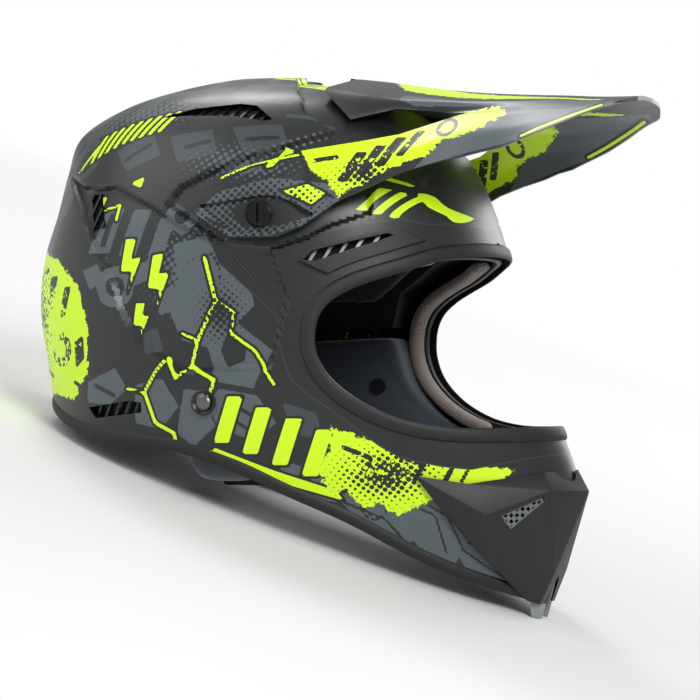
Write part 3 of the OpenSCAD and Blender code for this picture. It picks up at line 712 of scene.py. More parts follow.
CUTOUT = [
    slash(-46, 32, 2.2, 10, 3.5), ("line", [(-58, 112), (-50, 124)], 1.4),
    ("line", [(-64, 116), (-56, 128)], 1.4), ("line", [(-8, 132), (16, 132)], 1.3),
    ("line", [(-6, 127), (14, 127)], 1.3), ("line", [(-36, 80), (-20, 88)], 1.5),
    ("line", [(4, 84), (18, 88)], 1.5), ("line", [(40, 90), (58, 94)], 1.4),
    ("line", [(10, 12), (26, 16), (30, 2)], 1.3), ("line", [(14, 4), (22, 6), (26, -6)], 1.0),
    [(34, -30), (46, -34), (44, -46), (34, -50), (30, -40)],
    ("line", [(96, -128), (118, -138), (126, -150)], 0.8),
    ("line", [(126, -126), (144, -136), (148, -158)], 0.8),
    ("line", [(132, -124), (150, -136), (156, -154)], 0.8), ("ring", (112, -132), 6, 0.8),
    ("line", [(156, -156), (176, -174)], 0.8), ("line", [(36, -70), (52, -80)], 1.2),
    ("line", [(32, -76), (46, -86)], 1.0), ("line", [(-54, -60), (-40, -66)], 1.4)]
NEON_CRISP = (
    bars(34, -80, 16.5, 5, 4.6, 13.5, 5.0, -6.4)
    + [[(24, -96), (60, -110), (92, -121), (96, -127), (60, -116), (26, -102)],
       ("line", [(20, 14), (27, -11), (16, -34), (12, -49), (27, -57), (22, -70)], 1.1),
       ("line", [(12, -49), (3, -56), (-2, -44), (-10, -52), (-18, -64), (-12, -82), (0, -88),
                 (1, -97), (24, -99)], 1.1),
       ("line", [(27, -11), (38, -18), (36, -30), (50, -40), (62, -60)], 0.9),
       ("line", [(-18, -64), (-30, -62)], 0.8), ("line", [(16, -34), (6, -30)], 0.8),
       [(-32, 26), (-25, 26), (-28, 14), (-21, 15), (-30, -6), (-27, 7), (-35, 7)],
       [(-13, 16), (-6, 17), (-9, 5), (-2, 6), (-12, -20), (-8, -4), (-16, -3)],
       [(-24, -12), (-18, -12), (-20, -20), (-15, -19), (-23, -36), (-20, -25), (-26, -25)],
       ("line", [(-50, 45), (-38, 48), (-40, 38)], 1.0),
       slash(-52, 52, 2.0, 4, 1.5), ("line", [(-76, 88), (-60, 98)], 1.2),
       slash(112, 54, 3.0, 12, 6), slash(121, 52, 2.4, 13, 6), slash(129, 50, 2.4, 13, 6),
       ("line", [(150, 40), (141, 52), (136, 66)], 4.0),
       ("line", [(96, 74), (110, 80), (128, 78)], 2.4)]
    + bars(-60, 96, 6.0, 9, 1.5, 8, 5, 1.0)
    + [[(30, 172), (66, 166), (70, 184), (60, 196), (28, 196)],
       [(-30, 62), (-20, 66), (-22, 58)], slash(62, 84, 2.5, 6, 3), slash(69, 83, 2.5, 6, 3)])
NEON_RAGGED = [
    [(92, -84), (118, -94), (146, -103), (172, -108), (184, -110), (176, -117), (158, -120),
     (140, -128), (124, -136), (116, -128), (106, -132), (98, -120), (88, -124), (84, -108),
     (90, -98)],
    [(-122, 18), (-104, 22), (-84, 14), (-66, 0), (-58, -26), (-60, -52), (-74, -68),
     (-122, -62)]]
INK = [
    slash(-92, -4, 4, 10, 3), slash(-78, -10, 3, 9, 3), ("ring", (-84, -38), 8, 2.6),
    ("line", [(-118, -20), (-100, -24), (-96, -34)], 1.8), ("line", [(-110, 6), (-98, 10)], 1.5),
    [(-70, -34), (-62, -30), (-62, -44), (-70, -50)], ("line", [(-116, -44), (-98, -54)], 1.5),
    ("line", [(-72, -58), (-64, -62)], 1.2), ("line", [(98, -96), (112, -102), (110, -112)], 1.4),
    ("line", [(128, -102), (140, -106), (134, -116)], 1.3), slash(152, -112, 1.6, 4, 2),
    slash(160, -113, 1.2, 4, 2), ("line", [(36, 178), (56, 176)], 1.6),
    ("line", [(34, 186), (58, 184)], 1.6)]
BAND = [(20, 30), (38, 21), (59, 19.5), (78, 24.5), (98, 31), (126, 37), (137, 34), (156, 35),
        (190, 36), (190, 10), (230, -60), (230, -101), (201, -101), (191, -103), (177, -106),
        (163, -109), (148, -107), (128, -102), (117, -95), (96, -77), (81, -66), (71, -56),
        (66, -38), (63, -20), (49, -7), (29, 11)]
print("paint shapes", sum(map(len, (SLATE, MID, CUTOUT, NEON_CRISP, NEON_RAGGED, INK))))


# %% Distances on the shell
def paint_shell(o):
    p = points_of(o)
    flat = side_place(p)
    store(o, "slate", to_shapes(flat, SLATE))
    store(o, "mid", to_shapes(flat, MID))
    store(o, "cutout", to_shapes(flat, CUTOUT))
    front = np.where(np.abs(p[:, 1]) < 30, 6.0, 0.0) * (p[:, 2] < 0)
    store(o, "crisp", to_shapes(flat, NEON_CRISP))
    store(o, "ragged", to_shapes(flat, NEON_RAGGED) + front)
    store(o, "ink", to_shapes(flat, INK))
    store(o, "band", to_polygon(p[:, [0, 2]], BAND))
    pale = np.exp(-((flat - (14, 6)) ** 2 @ (1 / 26 ** 2, 1 / 22 ** 2)))
    pale += 0.8 * np.exp(-((flat - (-30, 112)) ** 2 @ (1 / 30 ** 2, 1 / 14 ** 2)))
    pale += 0.8 * np.exp(-((flat - (40, 74)) ** 2 @ (1 / 30 ** 2, 1 / 12 ** 2)))
    store(o, "pale_dots", pale)
    dark = np.exp(-((flat - (120, -112)) ** 2 @ (1 / 24 ** 2, 1 / 14 ** 2)))
    dark += 0.9 * np.exp(-((flat - (30, -18)) ** 2 @ (1 / 12 ** 2, 1 / 16 ** 2)))
    dark += 0.9 * np.exp(-((flat - (-104, -16)) ** 2 @ (1 / 12 ** 2, 1 / 30 ** 2)))
    store(o, "dark_dots", dark)


paint_shell(shell)
print("distances stored", len(shell.data.attributes))

# %% [markdown]
# The paint lies under a satin clear coat on a matte shell. The yellow keeps a thin black outline;
# its big fields break up at the rim like a dry brush, and fade into dots. The wide band round the
# eyeport lies under the same coat, with a fine ribbed moulding texture.

# %% The painted finish
def held(tree, name):
    return add(tree, "ShaderNodeAttribute", attribute_name=name).outputs["Fac"]


def lay(tree, under, code, distance, edge=0.0):
    return use(tree, LAYER, {"Under": under, "Over": rgb(code), "Distance": distance,
                             "Edge": edge})["Color"]


CHARCOAL, SLATE_GREY, MID_GREY, NEON, INK_BLACK = "16181a", "4d565b", "363c3f", "cdf500", "0e0f10"


def dot_field(tree, place, weight, pitch, turn):
    """Negative inside the dots of a halftone whose dots grow with weight."""
    mask = use(tree, DOTS, {"Place": place, "Pitch": pitch, "Turn": turn, "Weight": weight})
    return calc(tree, "SUBTRACT", 0.5, mask["Mask"])


def painted(name, band=True):
    m, tree, shader, place = material(name, Coat_Roughness=0.3, Coat_Weight=0.18)
    patches = use(tree, GRAIN, {"Place": place, "Size": 0.8})
    base = mixed(tree, patches["Patches"], rgb("121415"), rgb("1b1e20"))
    colour = lay(tree, base, MID_GREY, held(tree, "mid"))
    rough_slate = use(tree, RAGGED, {"Distance": held(tree, "slate"), "Place": place,
                                     "Size": 3.0, "Amount": 0.5})["Distance"]
    colour = lay(tree, colour, SLATE_GREY, rough_slate)
    colour = lay(tree, colour, CHARCOAL, held(tree, "cutout"))
    colour = lay(tree, colour, SLATE_GREY, dot_field(tree, place, held(tree, "pale_dots"), 3.6, 0.6))
    colour = lay(tree, colour, INK_BLACK, held(tree, "crisp"), 1.5)
    colour = lay(tree, colour, NEON, held(tree, "crisp"))
    torn = use(tree, RAGGED, {"Distance": held(tree, "ragged"), "Place": place, "Size": 4.5,
                              "Amount": 2.4})["Distance"]
    colour = lay(tree, colour, NEON, torn)
    on_neon = calc(tree, "MULTIPLY", held(tree, "dark_dots"), 1.0)
    colour = lay(tree, colour, INK_BLACK, dot_field(tree, place, on_neon, 3.2, 0.9))
    colour = lay(tree, colour, INK_BLACK, held(tree, "ink"))
    spots = noise(tree, place, 0.32, 2.0)
    near = calc(tree, "MULTIPLY", held(tree, "ragged"), 0.012)
    splat = calc(tree, "SUBTRACT", calc(tree, "ADD", near, 0.735), spots)
    colour = lay(tree, colour, NEON, splat)
    height = patches["Height"]
    if band:
        colour = lay(tree, colour, "131415", held(tree, "band"))
        colour = lay(tree, colour, "2a2d2f", calc(tree, "SUBTRACT", calc(
            tree, "ABSOLUTE", held(tree, "band")), 0.45))
        ribs = use(tree, STRIPES, {"Place": place, "Pitch": 2.2, "Turn": 0.7, "Share": 0.5})
        inside = calc(tree, "LESS_THAN", held(tree, "band"), -1.0)
        height = calc(tree, "ADD", calc(tree, "MULTIPLY", height, 0.3),
                      calc(tree, "MULTIPLY", calc(tree, "MULTIPLY", ribs["Mask"], inside), 0.9))
    tree.links.new(colour, shader.inputs["Base Color"])
    patchy(tree, shader, patches["Patches"], 0.34, 0.5)
    bump(tree, shader, height, 0.5, 0.1)
    return m


SHELL_PAINT = painted("shell_paint")
finish_piece(shell, "shell", SHELL_PAINT, 30,
             ("outer_shell",))

# %% [markdown]
# The peak is a thin moulded sheet: a flat hood, walls that drop from its edges,
# and two arms that run back along the shell to the side screws. Its stations are
# the CAD part's own, sampled finely, and eased so that every fold has a radius.

# %% The peak's sheet
STATIONS = [
    [66, [125, 14], [121.5, 34], [107, 76], [82, 103], [64, 118.5], 130],
    [80, [119, 24], [115.5, 44], [101.5, 79], [76, 100], [61, 115.8], 128.3],
    [94, [115, 33], [111.5, 52], [94, 82], [72, 97], [58, 113.5], 126.3],
    [116, [107, 49], [101, 66], [84.5, 85.5], [56, 103.5], [52, 110], 122.6],
    [141, [99, 62], [88, 78], [70, 92], [50, 101], [48, 108.3], 119],
    [160, [92, 69], [77, 86], [59, 98.5], [50, 101], [46, 107.3], 117],
    [186, [81, 75.5], [71, 88], [59, 98.5], [51, 103], [45, 107], 115],
    [210, [77, 85.5], [68, 93], [59, 99.5], [52, 103.5], [45, 106.6], 113.2],
    [232, [66, 95], [61, 98], [56, 101], [51, 103.3], [46, 105], 111.8],
    [262, [52, 103], [50, 104], [48, 105], [44, 106.3], [38, 107.4], 109.8]]
PEAK_SIDE = [(4, 46), (6, 48.5), (23, 57), (41, 66), (59, 71), (74, 76), (90, 79), (107, 82),
             (126, 86), (141, 92.5), (158, 100), (141, 101.5), (116, 103.6), (105, 100.4),
             (93, 96.5), (72, 116), (60, 128), (58, 150), (300, 150), (300, 104), (252, 104),
             (240, 100), (233, 97), (225, 93), (210, 86), (198, 81), (186, 76), (176, 74),
             (166, 71), (149, 67), (133, 62), (122, 57), (112, 52), (96, 44), (90, 38.6),
             (79, 31), (64, 25), (38, 25), (23, 35)]
PEAK_PLAN = [(73, -140), (200, -140), (242, -62), (250, -48), (255, -28), (257, 0), (255, 28),
             (250, 48), (242, 62), (200, 140), (73, 140)]
PEAK_WALL = 2.4


def station_rows(t):
    """Half cross-sections at t, from the lower edge up to the centre line."""
    side = [spline([[r[0], r[k][0], r[k][1]] for r in STATIONS], t) for k in range(1, 6)]
    top = spline([[r[0], r[6]] for r in STATIONS], t)
    pts = [np.stack([s[:, 0], -s[:, 1], s[:, 2]], -1) for s in side]
    eighteen = (top[:, 1] * 2 + side[4][:, 2]) / 3 + 1
    pts.append(np.stack([top[:, 0], np.full(len(t), -18.0), eighteen], -1))
    pts.append(np.stack([top[:, 0], np.zeros(len(t)), top[:, 1]], -1))
    half = np.stack(pts, 1)
    other = half[:, -2::-1] * (1, -1, 1)
    return np.concatenate([half, other], 1)


def eased(grid, rounds):
    """Softens the folds across each row, keeping its two ends."""
    g = grid.copy()
    for _ in range(rounds):
        g[:, 1:-1] = 0.5 * g[:, 1:-1] + 0.25 * (g[:, :-2] + g[:, 2:])
    return g


def dense_rows(rows, pitch=1.6):
    """Same number of evenly spaced points on every row."""
    out = []
    spans = [max(2, int(round(np.linalg.norm(rows[:, k + 1] - rows[:, k], axis=-1).mean() / pitch)))
             for k in range(rows.shape[1] - 1)]
    for k, n in enumerate(spans):
        f = np.arange(n)[None, :, None] / n
        out.append(rows[:, k:k + 1] * (1 - f) + rows[:, k + 1:k + 2] * f)
    out.append(rows[:, -1:])
    return np.concatenate(out, 1)


def grid_normals(g):
    u = np.gradient(g, axis=0)
    v = np.gradient(g, axis=1)
    n = np.cross(u, v)
    n /= np.linalg.norm(n, axis=-1, keepdims=True)
    return n * np.sign(n[..., 2:3].mean())


def surface_block(x0, x1, z0, z1, d_out, d_in, sign, step=1.4):
    """Closed plate that follows the shell between two depths, over a side-view window."""
    zs = np.linspace(z1, z0, int((z1 - z0) / step) + 2)
    xs = np.linspace(x0, x1, int((x1 - x0) / step) + 2)
    z, x = np.meshgrid(zs, xs, indexing="ij")
    t, a = place_on(x, z)
    p, n = skin(t, a), outward(t, a)
    flip = np.array([1, sign, 1])
    return plate("block", (p - n * d_out) * flip, (p - n * d_in) * flip)


def peak_mesh():
    t = np.linspace(0, len(STATIONS) - 1, 150)
    g = eased(dense_rows(station_rows(t)), 5)
    o = plate("peak_skin", g, g - grid_normals(g) * PEAK_WALL)
    cut(o, prism(PEAK_SIDE), "INTERSECT")
    plan = np.asarray(PEAK_PLAN, float)
    n = len(plan)
    pts = np.concatenate([np.c_[plan, np.full(n, z)] for z in (-50.0, 250.0)])
    faces = [list(range(n)), list(range(2 * n - 1, n - 1, -1))]
    faces += [[i, i + n, (i + 1) % n + n, (i + 1) % n] for i in range(n)]
    tool = mesh_object("plan", pts, faces)
    face_out(tool)
    cut(o, tool, "INTERSECT")
    pocket = np.asarray(POCKET, float)
    centre = pocket.mean(0)
    rim = centre + (pocket - centre) * 1.07
    for sign in (1, -1):
        arm = surface_block(0, 80, 18, 84, -3.2, -3.2 + PEAK_WALL, sign)
        cut(arm, prism(ARM, *sorted((sign * 60, sign * 150))), "INTERSECT")
        wall = surface_block(14, 92, 22, 56, -3.2, 1.6, sign)
        cut(wall, prism(rim, *sorted((sign * 60, sign * 150))), "INTERSECT")
        cut(o, arm, "UNION")
        cut(o, wall, "UNION")
        sink = surface_block(14, 92, 22, 56, -9.0, -0.4, sign)
        cut(sink, prism(pocket, *sorted((sign * 60, sign * 160))), "INTERSECT")
        cut(o, sink)
        cut(o, hole(PIVOT[0], PIVOT[1], 5.2, *sorted((sign * 60, sign * 160))))
    return o


peak = peak_mesh()
print("peak faces", len(peak.data.polygons))

# %% [markdown]
# Under the hood a curved tab with a slot rides on the centre screw. It is hard
# to see and its CAD shape is right, so that stretch of the CAD mesh is copied.

# %% The peak's centre tab
def tab_mesh():
    o = bpy.data.objects.new("peak_tab", frame["nodes"]["peak"].data.copy())
    bpy.context.scene.collection.objects.link(o)
    bm = bmesh.new()
    bm.from_mesh(o.data)
    bmesh.ops.remove_doubles(bm, verts=bm.verts, dist=1e-6)
    bm.to_mesh(o.data)
    bm.free()
    box = [np.c_[np.full(4, x), [-17.5, 17.5, 17.5, -17.5], [100, 100, 124.2, 124.2]]
           for x in (56, 89)]
    tool = mesh_object("box", np.concatenate(box),
                       [[0, 1, 2, 3], [7, 6, 5, 4], [0, 4, 5, 1], [1, 5, 6, 2], [2, 6, 7, 3],
                        [3, 7, 4, 0]])
    face_out(tool)
    return cut(o, tool, "INTERSECT")


tab = tab_mesh()
print("tab faces", len(tab.data.polygons))

# %% [markdown]
# The peak has the same paint scheme: a yellow sweep along the arm that breaks
# up into the grey of the wall, dots round the screw, and a dark hood top.

# %% The peak's paint
def plan_place(p):
    """Arms and walls in side view; the hood's top from above, shifted out of their way."""
    up = p[:, 2] > 104.5 + np.clip((100 - p[:, 0]) * 0.3, 0, 20)
    flat = np.c_[p[:, 0], p[:, 2]]
    flat[up] = np.c_[p[up, 0], np.abs(p[up, 1]) + 300]
    return flat


PEAK_NEON = [[(74, 77), (96, 81), (118, 86), (138, 92), (158, 100), (176, 104), (184, 98),
              (170, 88), (150, 80), (146, 72), (128, 66), (112, 56), (98, 48), (92, 58),
              (80, 64)],
             [(96, 300), (128, 300), (150, 318), (200, 330), (236, 336), (236, 341), (196, 338),
              (140, 334), (110, 326)]]
PEAK_CRISP = [[(66, 52), (80, 56), (92, 50), (84, 44)], slash(60, 70, 2.2, 4, 3),
              ("line", [(30, 60), (48, 68), (66, 72), (84, 76)], 0.7),
              ("line", [(198, 83), (224, 94.5), (240, 101.5)], 0.8)]
PEAK_INK = [slash(104, 66, 3.4, 9, 4), slash(114, 70, 3.0, 9, 4), slash(124, 75, 3.0, 9, 4),
            slash(134, 80, 2.4, 8, 4), ("line", [(82, 70), (94, 72)], 1.4),
            ("ring", (152, 90), 5, 1.2)]
PEAK_SLATE = [[(16, 40), (30, 52), (60, 60), (92, 56), (100, 46), (80, 32), (60, 26), (34, 26)],
              [(150, 96), (180, 104), (210, 106), (246, 106), (246, 100), (200, 82), (164, 72),
               (140, 64), (152, 80)],
              [(116, 340), (150, 344), (236, 345), (236, 352), (116, 352)],
              ("ring", (150, 322), 12, 3.5), ("ring", (190, 318), 8, 2.5)]
PEAK_CUTOUT = [[(36, 42), (52, 48), (70, 46), (82, 38), (66, 32), (44, 31)],
               ("line", [(24, 36), (34, 31)], 1.0), ("line", [(88, 52), (96, 48)], 1.0)]


def paint_peak(o):
    flat = plan_place(points_of(o))
    far = np.full(len(flat), 40.0)
    store(o, "slate", to_shapes(flat, PEAK_SLATE))
    store(o, "mid", far)
    store(o, "cutout", to_shapes(flat, PEAK_CUTOUT))
    store(o, "crisp", to_shapes(flat, PEAK_CRISP))
    store(o, "ragged", to_shapes(flat, PEAK_NEON))
    store(o, "ink", to_shapes(flat, PEAK_INK))
    pale = np.exp(-((flat - (44, 66)) ** 2 @ (1 / 26 ** 2, 1 / 6 ** 2)))
    store(o, "pale_dots", pale)
    dark = 0.85 * np.exp(-((flat - (52, 40)) ** 2 @ (1 / 40 ** 2, 1 / 24 ** 2)))
    dark += 0.9 * np.exp(-((flat - (112, 62)) ** 2 @ (1 / 12 ** 2, 1 / 8 ** 2)))
    store(o, "dark_dots", dark)


paint_peak(peak)
PEAK_PAINT = painted("peak_paint", band=False)
finish_piece(peak, "peak", PEAK_PAINT, 30, ("peak",))
finish_piece(tab, "peak", BLACK_PLASTIC, 30)

# %% [markdown]
# Rubber trims are extrusions wrapped round an edge. A path is laid on the shell,
# and a small closed profile is swept along it, kept square to the surface.

# %% Paths on the shell and sweeps
def along_edge(path, pitch=1.8):
    """Evenly spaced points and normals where an outline meets the +Y side of the shell."""
    p = np.asarray(path, float)
    k = np.linspace(0, len(p) - 1, 6000)
    x, z = (np.interp(k, np.arange(len(p)), p[:, i]) for i in (0, 1))
    t, a = place_on(x, z)
    pts, out = skin(t, a), outward(t, a)
    run = np.r_[0, np.cumsum(np.linalg.norm(np.diff(pts, axis=0), axis=1))]
    even = np.linspace(0, run[-1], int(run[-1] / pitch) + 2)
    pts, out = (np.stack([np.interp(even, run, v[:, i]) for i in range(3)], -1)
                for v in (pts, out))
    return pts, out / np.linalg.norm(out, axis=1, keepdims=True)


def both_ways(pts, out, closed):
    """Joins a +Y half to its mirror image."""
    flip = np.array([1, -1, 1])
    skip = slice(1, -1) if closed else slice(1, None)
    order = (pts[::-1], out[::-1])
    return tuple(np.concatenate([h, (g * flip)[skip]]) for h, g in zip(order, (pts, out)))


def sweep(name, pts, out, profile, closed, size=None, toward=(0, 0, 1)):
    """Sweeps [across, outward] along a path; across leans toward the given way at its start."""
    ring = (lambda v: (np.roll(v, -1, 0) - np.roll(v, 1, 0))) if closed else (
        lambda v: np.gradient(v, axis=0))
    way = ring(pts)
    way /= np.linalg.norm(way, axis=1, keepdims=True)
    across = np.cross(way, out)
    across /= np.linalg.norm(across, axis=1, keepdims=True)
    if across[0] @ np.asarray(toward, float) < 0:
        across = -across
    prof = np.asarray(profile, float)
    size = np.ones(len(pts)) if size is None else size
    mid = prof.mean(0)
    grown = mid + (prof - mid)[None] * size[:, None, None]
    grid = (pts[:, None] + across[:, None] * grown[..., :1] + out[:, None] * grown[..., 1:])
    rows, cols = grid.shape[:2]
    faces = grid_faces(rows, cols, True)
    if closed:
        last = (rows - 1) * cols
        faces += [[last + j, last + (j + 1) % cols, (j + 1) % cols, j] for j in range(cols)]
    else:
        faces += [list(range(cols)), [(rows - 1) * cols + j for j in range(cols - 1, -1, -1)]]
    o = mesh_object(name, grid.reshape(-1, 3), faces)
    face_out(o)
    return o


def oval(cx, cy, rx, ry, n=20, square=2.0):
    a = np.arange(n) / n * math.tau
    return np.c_[cx + rx * power(np.cos(a), 2 / square), cy + ry * power(np.sin(a), 2 / square)]


EYE_HALF = along_edge(smooth(EYE, 8))
print("eyeport edge", len(EYE_HALF[0]), "points a side")

# %% [markdown]
# The eyeport lip covers the raw edge of the shell: a low bead outside, and a leg
# inside that the goggles' foam rests on. The lower moulding does the same round
# the neck, and is flat where the helmet stands on it.

# %% Trims
LIP = [(6.3, 0.05), (6.5, 0.9), (5.6, 1.7), (3.6, 2.0), (1.2, 2.0), (-0.8, 1.7), (-2.0, 0.8),
       (-2.4, -0.8), (-2.4, -7.2), (-1.4, -8.8), (1, -9), (4.6, -9), (5.6, -8.2), (5.4, -5.3),
       (0.1, -5.3), (0.1, 0.05)]
pts, out = both_ways(*EYE_HALF, closed=True)
lip = sweep("eyeport_lip", pts, out, LIP, True)
finish_piece(lip, "shell", RUBBER, 50, ("eyeport_trim",))

MOULDING = [(0.4, -8.8), (0.4, 0.9), (1.2, 1.5), (3.2, 1.6), (5.6, 1.2), (7.4, 0.1), (8.2, -2),
            (8.4, -5), (7.6, -7.8), (5.6, -8.8)]
edge = smooth(BASE, 8)
pts, out = along_edge(edge[edge[:, 0] < 186])
pts, out = both_ways(pts[::-1], out[::-1], closed=False)
base = sweep("base_moulding", pts, out, MOULDING, False, toward=(0, 0, -1))
co = np.empty(len(base.data.vertices) * 3, np.float32)
base.data.vertices.foreach_get("co", co)
co = co.reshape(-1, 3)
co[:, 2] = np.maximum(co[:, 2], 0)
base.data.vertices.foreach_set("co", co.ravel())
finish_piece(base, "shell", RUBBER, 50, ("base_trim",))

# %% [markdown]
# Inside the lip, on each side, a soft knitted cord finishes the lining's edge.
# It tapers away at both ends.

# %% Knitted piping
def piping(sign):
    pts, out = EYE_HALF
    keep = (pts[:, 0] < 150) & (pts[:, 2] > -90)
    pts, out = pts[keep], out[keep]
    run = np.linspace(0, 1, len(pts))
    size = np.clip(np.minimum(run, 1 - run) / 0.03, 0.15, 1) ** 0.5
    flip = np.array([1, sign, 1])
    return sweep("knit_piping_" + ("left" if sign > 0 else "right"), pts * flip, out * flip,
                 oval(-2.4, -15.2, 3.6, 5.8, 24, 2.6), False, size)


pipes = [piping(1), piping(-1)]
finish_piece(pipes[0], "shell", PIPING_KNIT, 60, ("eyeport_piping",))
finish_piece(pipes[1], "shell", PIPING_KNIT, 60)

# %% [markdown]
# The chin cover is a faceted moulding like a folded mask, with two inlets under its ridge. Its
# corners are the CAD part's; here every fold gets a small radius.

# %% Chin vent cover
COVER = [(135, -83, -112), (163, -66, -117), (199, -31, -111), (211, 0, -110), (218, 0, -123),
         (204, -36, -122.5), (173, -63, -136), (150, -71, -135), (167, -56, -159),
         (190, -17, -194), (200, -13, -172)]
COVER_FACES = [(0, 1, 6), (1, 2, 5), (1, 5, 6), (2, 3, 4), (2, 4, 5), (0, 6, 7), (6, 8, 7),
               (6, 5, 10), (6, 10, 9), (6, 9, 8), (5, 4, 10)]
INLET = [(0, 0), (27, 10.5), (28, 8), (7, -8)]
INLET_AT, INLET_TURN = (177.7, -52.7, -136), 39.3
INLET_FROM, INLET_TO = -8, 22


def inlet_tool(sign):
    turn = math.radians(INLET_TURN)
    pts = []
    for w in (INLET_FROM, INLET_TO):
        for u, v in INLET:
            pts.append((INLET_AT[0] + u * math.cos(turn) + w * math.sin(turn),
                        sign * (INLET_AT[1] + u * math.sin(turn) - w * math.cos(turn)),
                        INLET_AT[2] + v))
    o = mesh_object("inlet", np.array(pts),
                    [[0, 1, 2, 3], [7, 6, 5, 4], [0, 4, 5, 1], [1, 5, 6, 2], [2, 6, 7, 3],
                     [3, 7, 4, 0]])
    face_out(o)
    return o


def cover_mesh():
    pts = COVER + [(x, -y, z) for x, y, z in COVER] + [(150, 0, -145)]
    core, n = len(pts) - 1, len(COVER)
    faces = [list(f) for f in COVER_FACES] + [[f[2] + n, f[1] + n, f[0] + n] for f in COVER_FACES]
    faces += [[10, 4, 21], [9, 10, 21], [9, 21, 20]]
    for a, b in ((0, 1), (1, 2), (2, 3)):
        faces += [[b, a, core], [a + n, b + n, core]]
    for a, b in ((7, 8), (8, 9)):
        faces += [[a, b, core], [b + n, a + n, core]]
    faces += [[0, 7, core], [18, 11, core], [9, 20, core]]
    o = mesh_object("chin_cover", np.array(pts, float), faces)
    bm = bmesh.new()
    bm.from_mesh(o.data)
    bmesh.ops.remove_doubles(bm, verts=bm.verts, dist=1e-6)
    bm.to_mesh(o.data)
    bm.free()
    face_out(o)
    m = o.modifiers.new("folds", "BEVEL")
    m.width, m.segments, m.limit_method, m.angle_limit = 0.0009, 3, "ANGLE", math.radians(8)
    settle(o)
    cut(o, shell_body("under", -1.3, 100, 200))
    low = [(100, -240), (230, -240), (230, -207), (204, -195.3), (162, -177.3), (134, -163.3),
           (100, -142)]
    cut(o, prism(low))
    for sign in (1, -1):
        cut(o, inlet_tool(sign))
    return o


cover = cover_mesh()
finish_piece(cover, "shell", BLACK_PLASTIC, 25, ("chin_vent_cover",))

# %% [markdown]
# The brow vents sit in thin raised panels that follow the shell.

# %% Brow vent panels
def offset_path(path, d):
    p = np.asarray(path, float)
    way = np.concatenate([p[1:2] - p[:1], p[2:] - p[:-2], p[-1:] - p[-2:-1]])
    way /= np.linalg.norm(way, axis=1, keepdims=True)
    return p + d * np.c_[way[:, 1], -way[:, 0]]


for sign, side in ((1, "left"), (-1, "right")):
    panel = surface_block(74, 147, -2, 34, -3, -0.3, sign, 1.0)
    panel.name = "brow_panel_" + side
    reach = sorted((sign * 50, sign * 140))
    cut(panel, prism(BROW_PANEL, *reach), "INTERSECT")
    cut(panel, prism(BROW_SLOT, *reach))
    grown = np.concatenate([offset_path(smooth(EYE, 2), 7), [(280, -97.5), (280, 31)]])
    cut(panel, prism(grown, *reach))
    finish_piece(panel, "shell", BLACK_PLASTIC, 30, ("brow_vent_panel_" + side,))

# %% [markdown]
# The lining is foam inside brushed cloth. A CAD solid gives each pad its size and
# place. The pad is remeshed evenly, its edges are eased until it looks stuffed,
# seams are pressed in, and the result is smoothed once more.

# %% Padded pieces
def coordinates(data):
    v = np.empty(len(data.vertices) * 3, np.float32)
    data.vertices.foreach_get("co", v)
    return v.reshape(-1, 3).astype(float)


def normals(data):
    v = np.empty(len(data.vertices) * 3, np.float32)
    data.vertices.foreach_get("normal", v)
    return v.reshape(-1, 3).astype(float)


def padded_piece(name, node, seams, voxel=0.0034, rounds=14, proud=0.0006, dent=0.0016):
    """Stuffed copy of a CAD solid. seams takes ride-frame points and gives distances in mm."""
    o = bpy.data.objects.new(name, frame["nodes"][node].data.copy())
    bpy.context.scene.collection.objects.link(o)
    m = o.modifiers.new("even", "REMESH")
    m.mode, m.voxel_size = "VOXEL", voxel
    m = o.modifiers.new("ease", "SMOOTH")
    m.factor, m.iterations = 0.5, rounds
    settle(o)
    co, no = coordinates(o.data), normals(o.data)
    far = seams(ride(co))
    crown = np.clip(far / 14, 0, 1) ** 0.5
    press = np.exp(-(far / 2.6) ** 2)
    push = proud * crown - dent * press
    o.data.vertices.foreach_set("co", (co + no * push[:, None]).ravel())
    m = o.modifiers.new("smooth", "SUBSURF")
    m.levels = 1
    return settle(o)


def lines_apart(values, pitch):
    """Distance to the nearest of evenly spaced lines."""
    return np.abs((values / pitch - np.round(values / pitch)) * pitch)


def cheek_seams(p):
    flat = p[:, [0, 2]]
    ring = [(-14, -44), (18, -42), (60, -40), (68, -52), (78, -68), (98, -84), (112, -98),
            (112, -124), (60, -102), (0, -78), (-14, -70)]
    edge = np.abs(to_polygon(flat, ring))
    rib = to_line(flat, [(18, -44), (26, -88)], 0)
    return np.minimum(edge, rib)


def liner_seams(p):
    """Quilting lines from front to back, and one band round the brow."""
    return np.minimum(lines_apart(p[:, 1] + 17, 34), np.abs(p[:, 2] - 34))


def roll_seams(p):
    return np.minimum(lines_apart(p[:, 1], 30), np.abs(p[:, 2] + 60))


SOFT = [("cheek_cushion_left", "cheek_pad_left", cheek_seams, PLUSH, 0.8),
        ("cheek_cushion_right", "cheek_pad_right", cheek_seams, PLUSH, 0.8),
        ("crown_lining", "comfort_liner", liner_seams, AIR_KNIT, 0.7),
        ("neck_cushion", "neck_roll", roll_seams, PLUSH, 0.7)]
for name, node, seams, finish, fill in SOFT:
    o = padded_piece(name, node, seams, proud=0.0002 if node == "comfort_liner" else 0.0006,
                     rounds=8 if node in ("comfort_liner", "neck_roll") else 14)
    finish_piece(o, "shell", finish, 80, (node,))

# %% [markdown]
# The chin strap is 25 mm webbing. It drops from a rivet on each side; the right
# one carries two D-rings in a loop, and the left one lies across with its end
# folded back. A padded sleeve keeps each off the wearer's jaw.

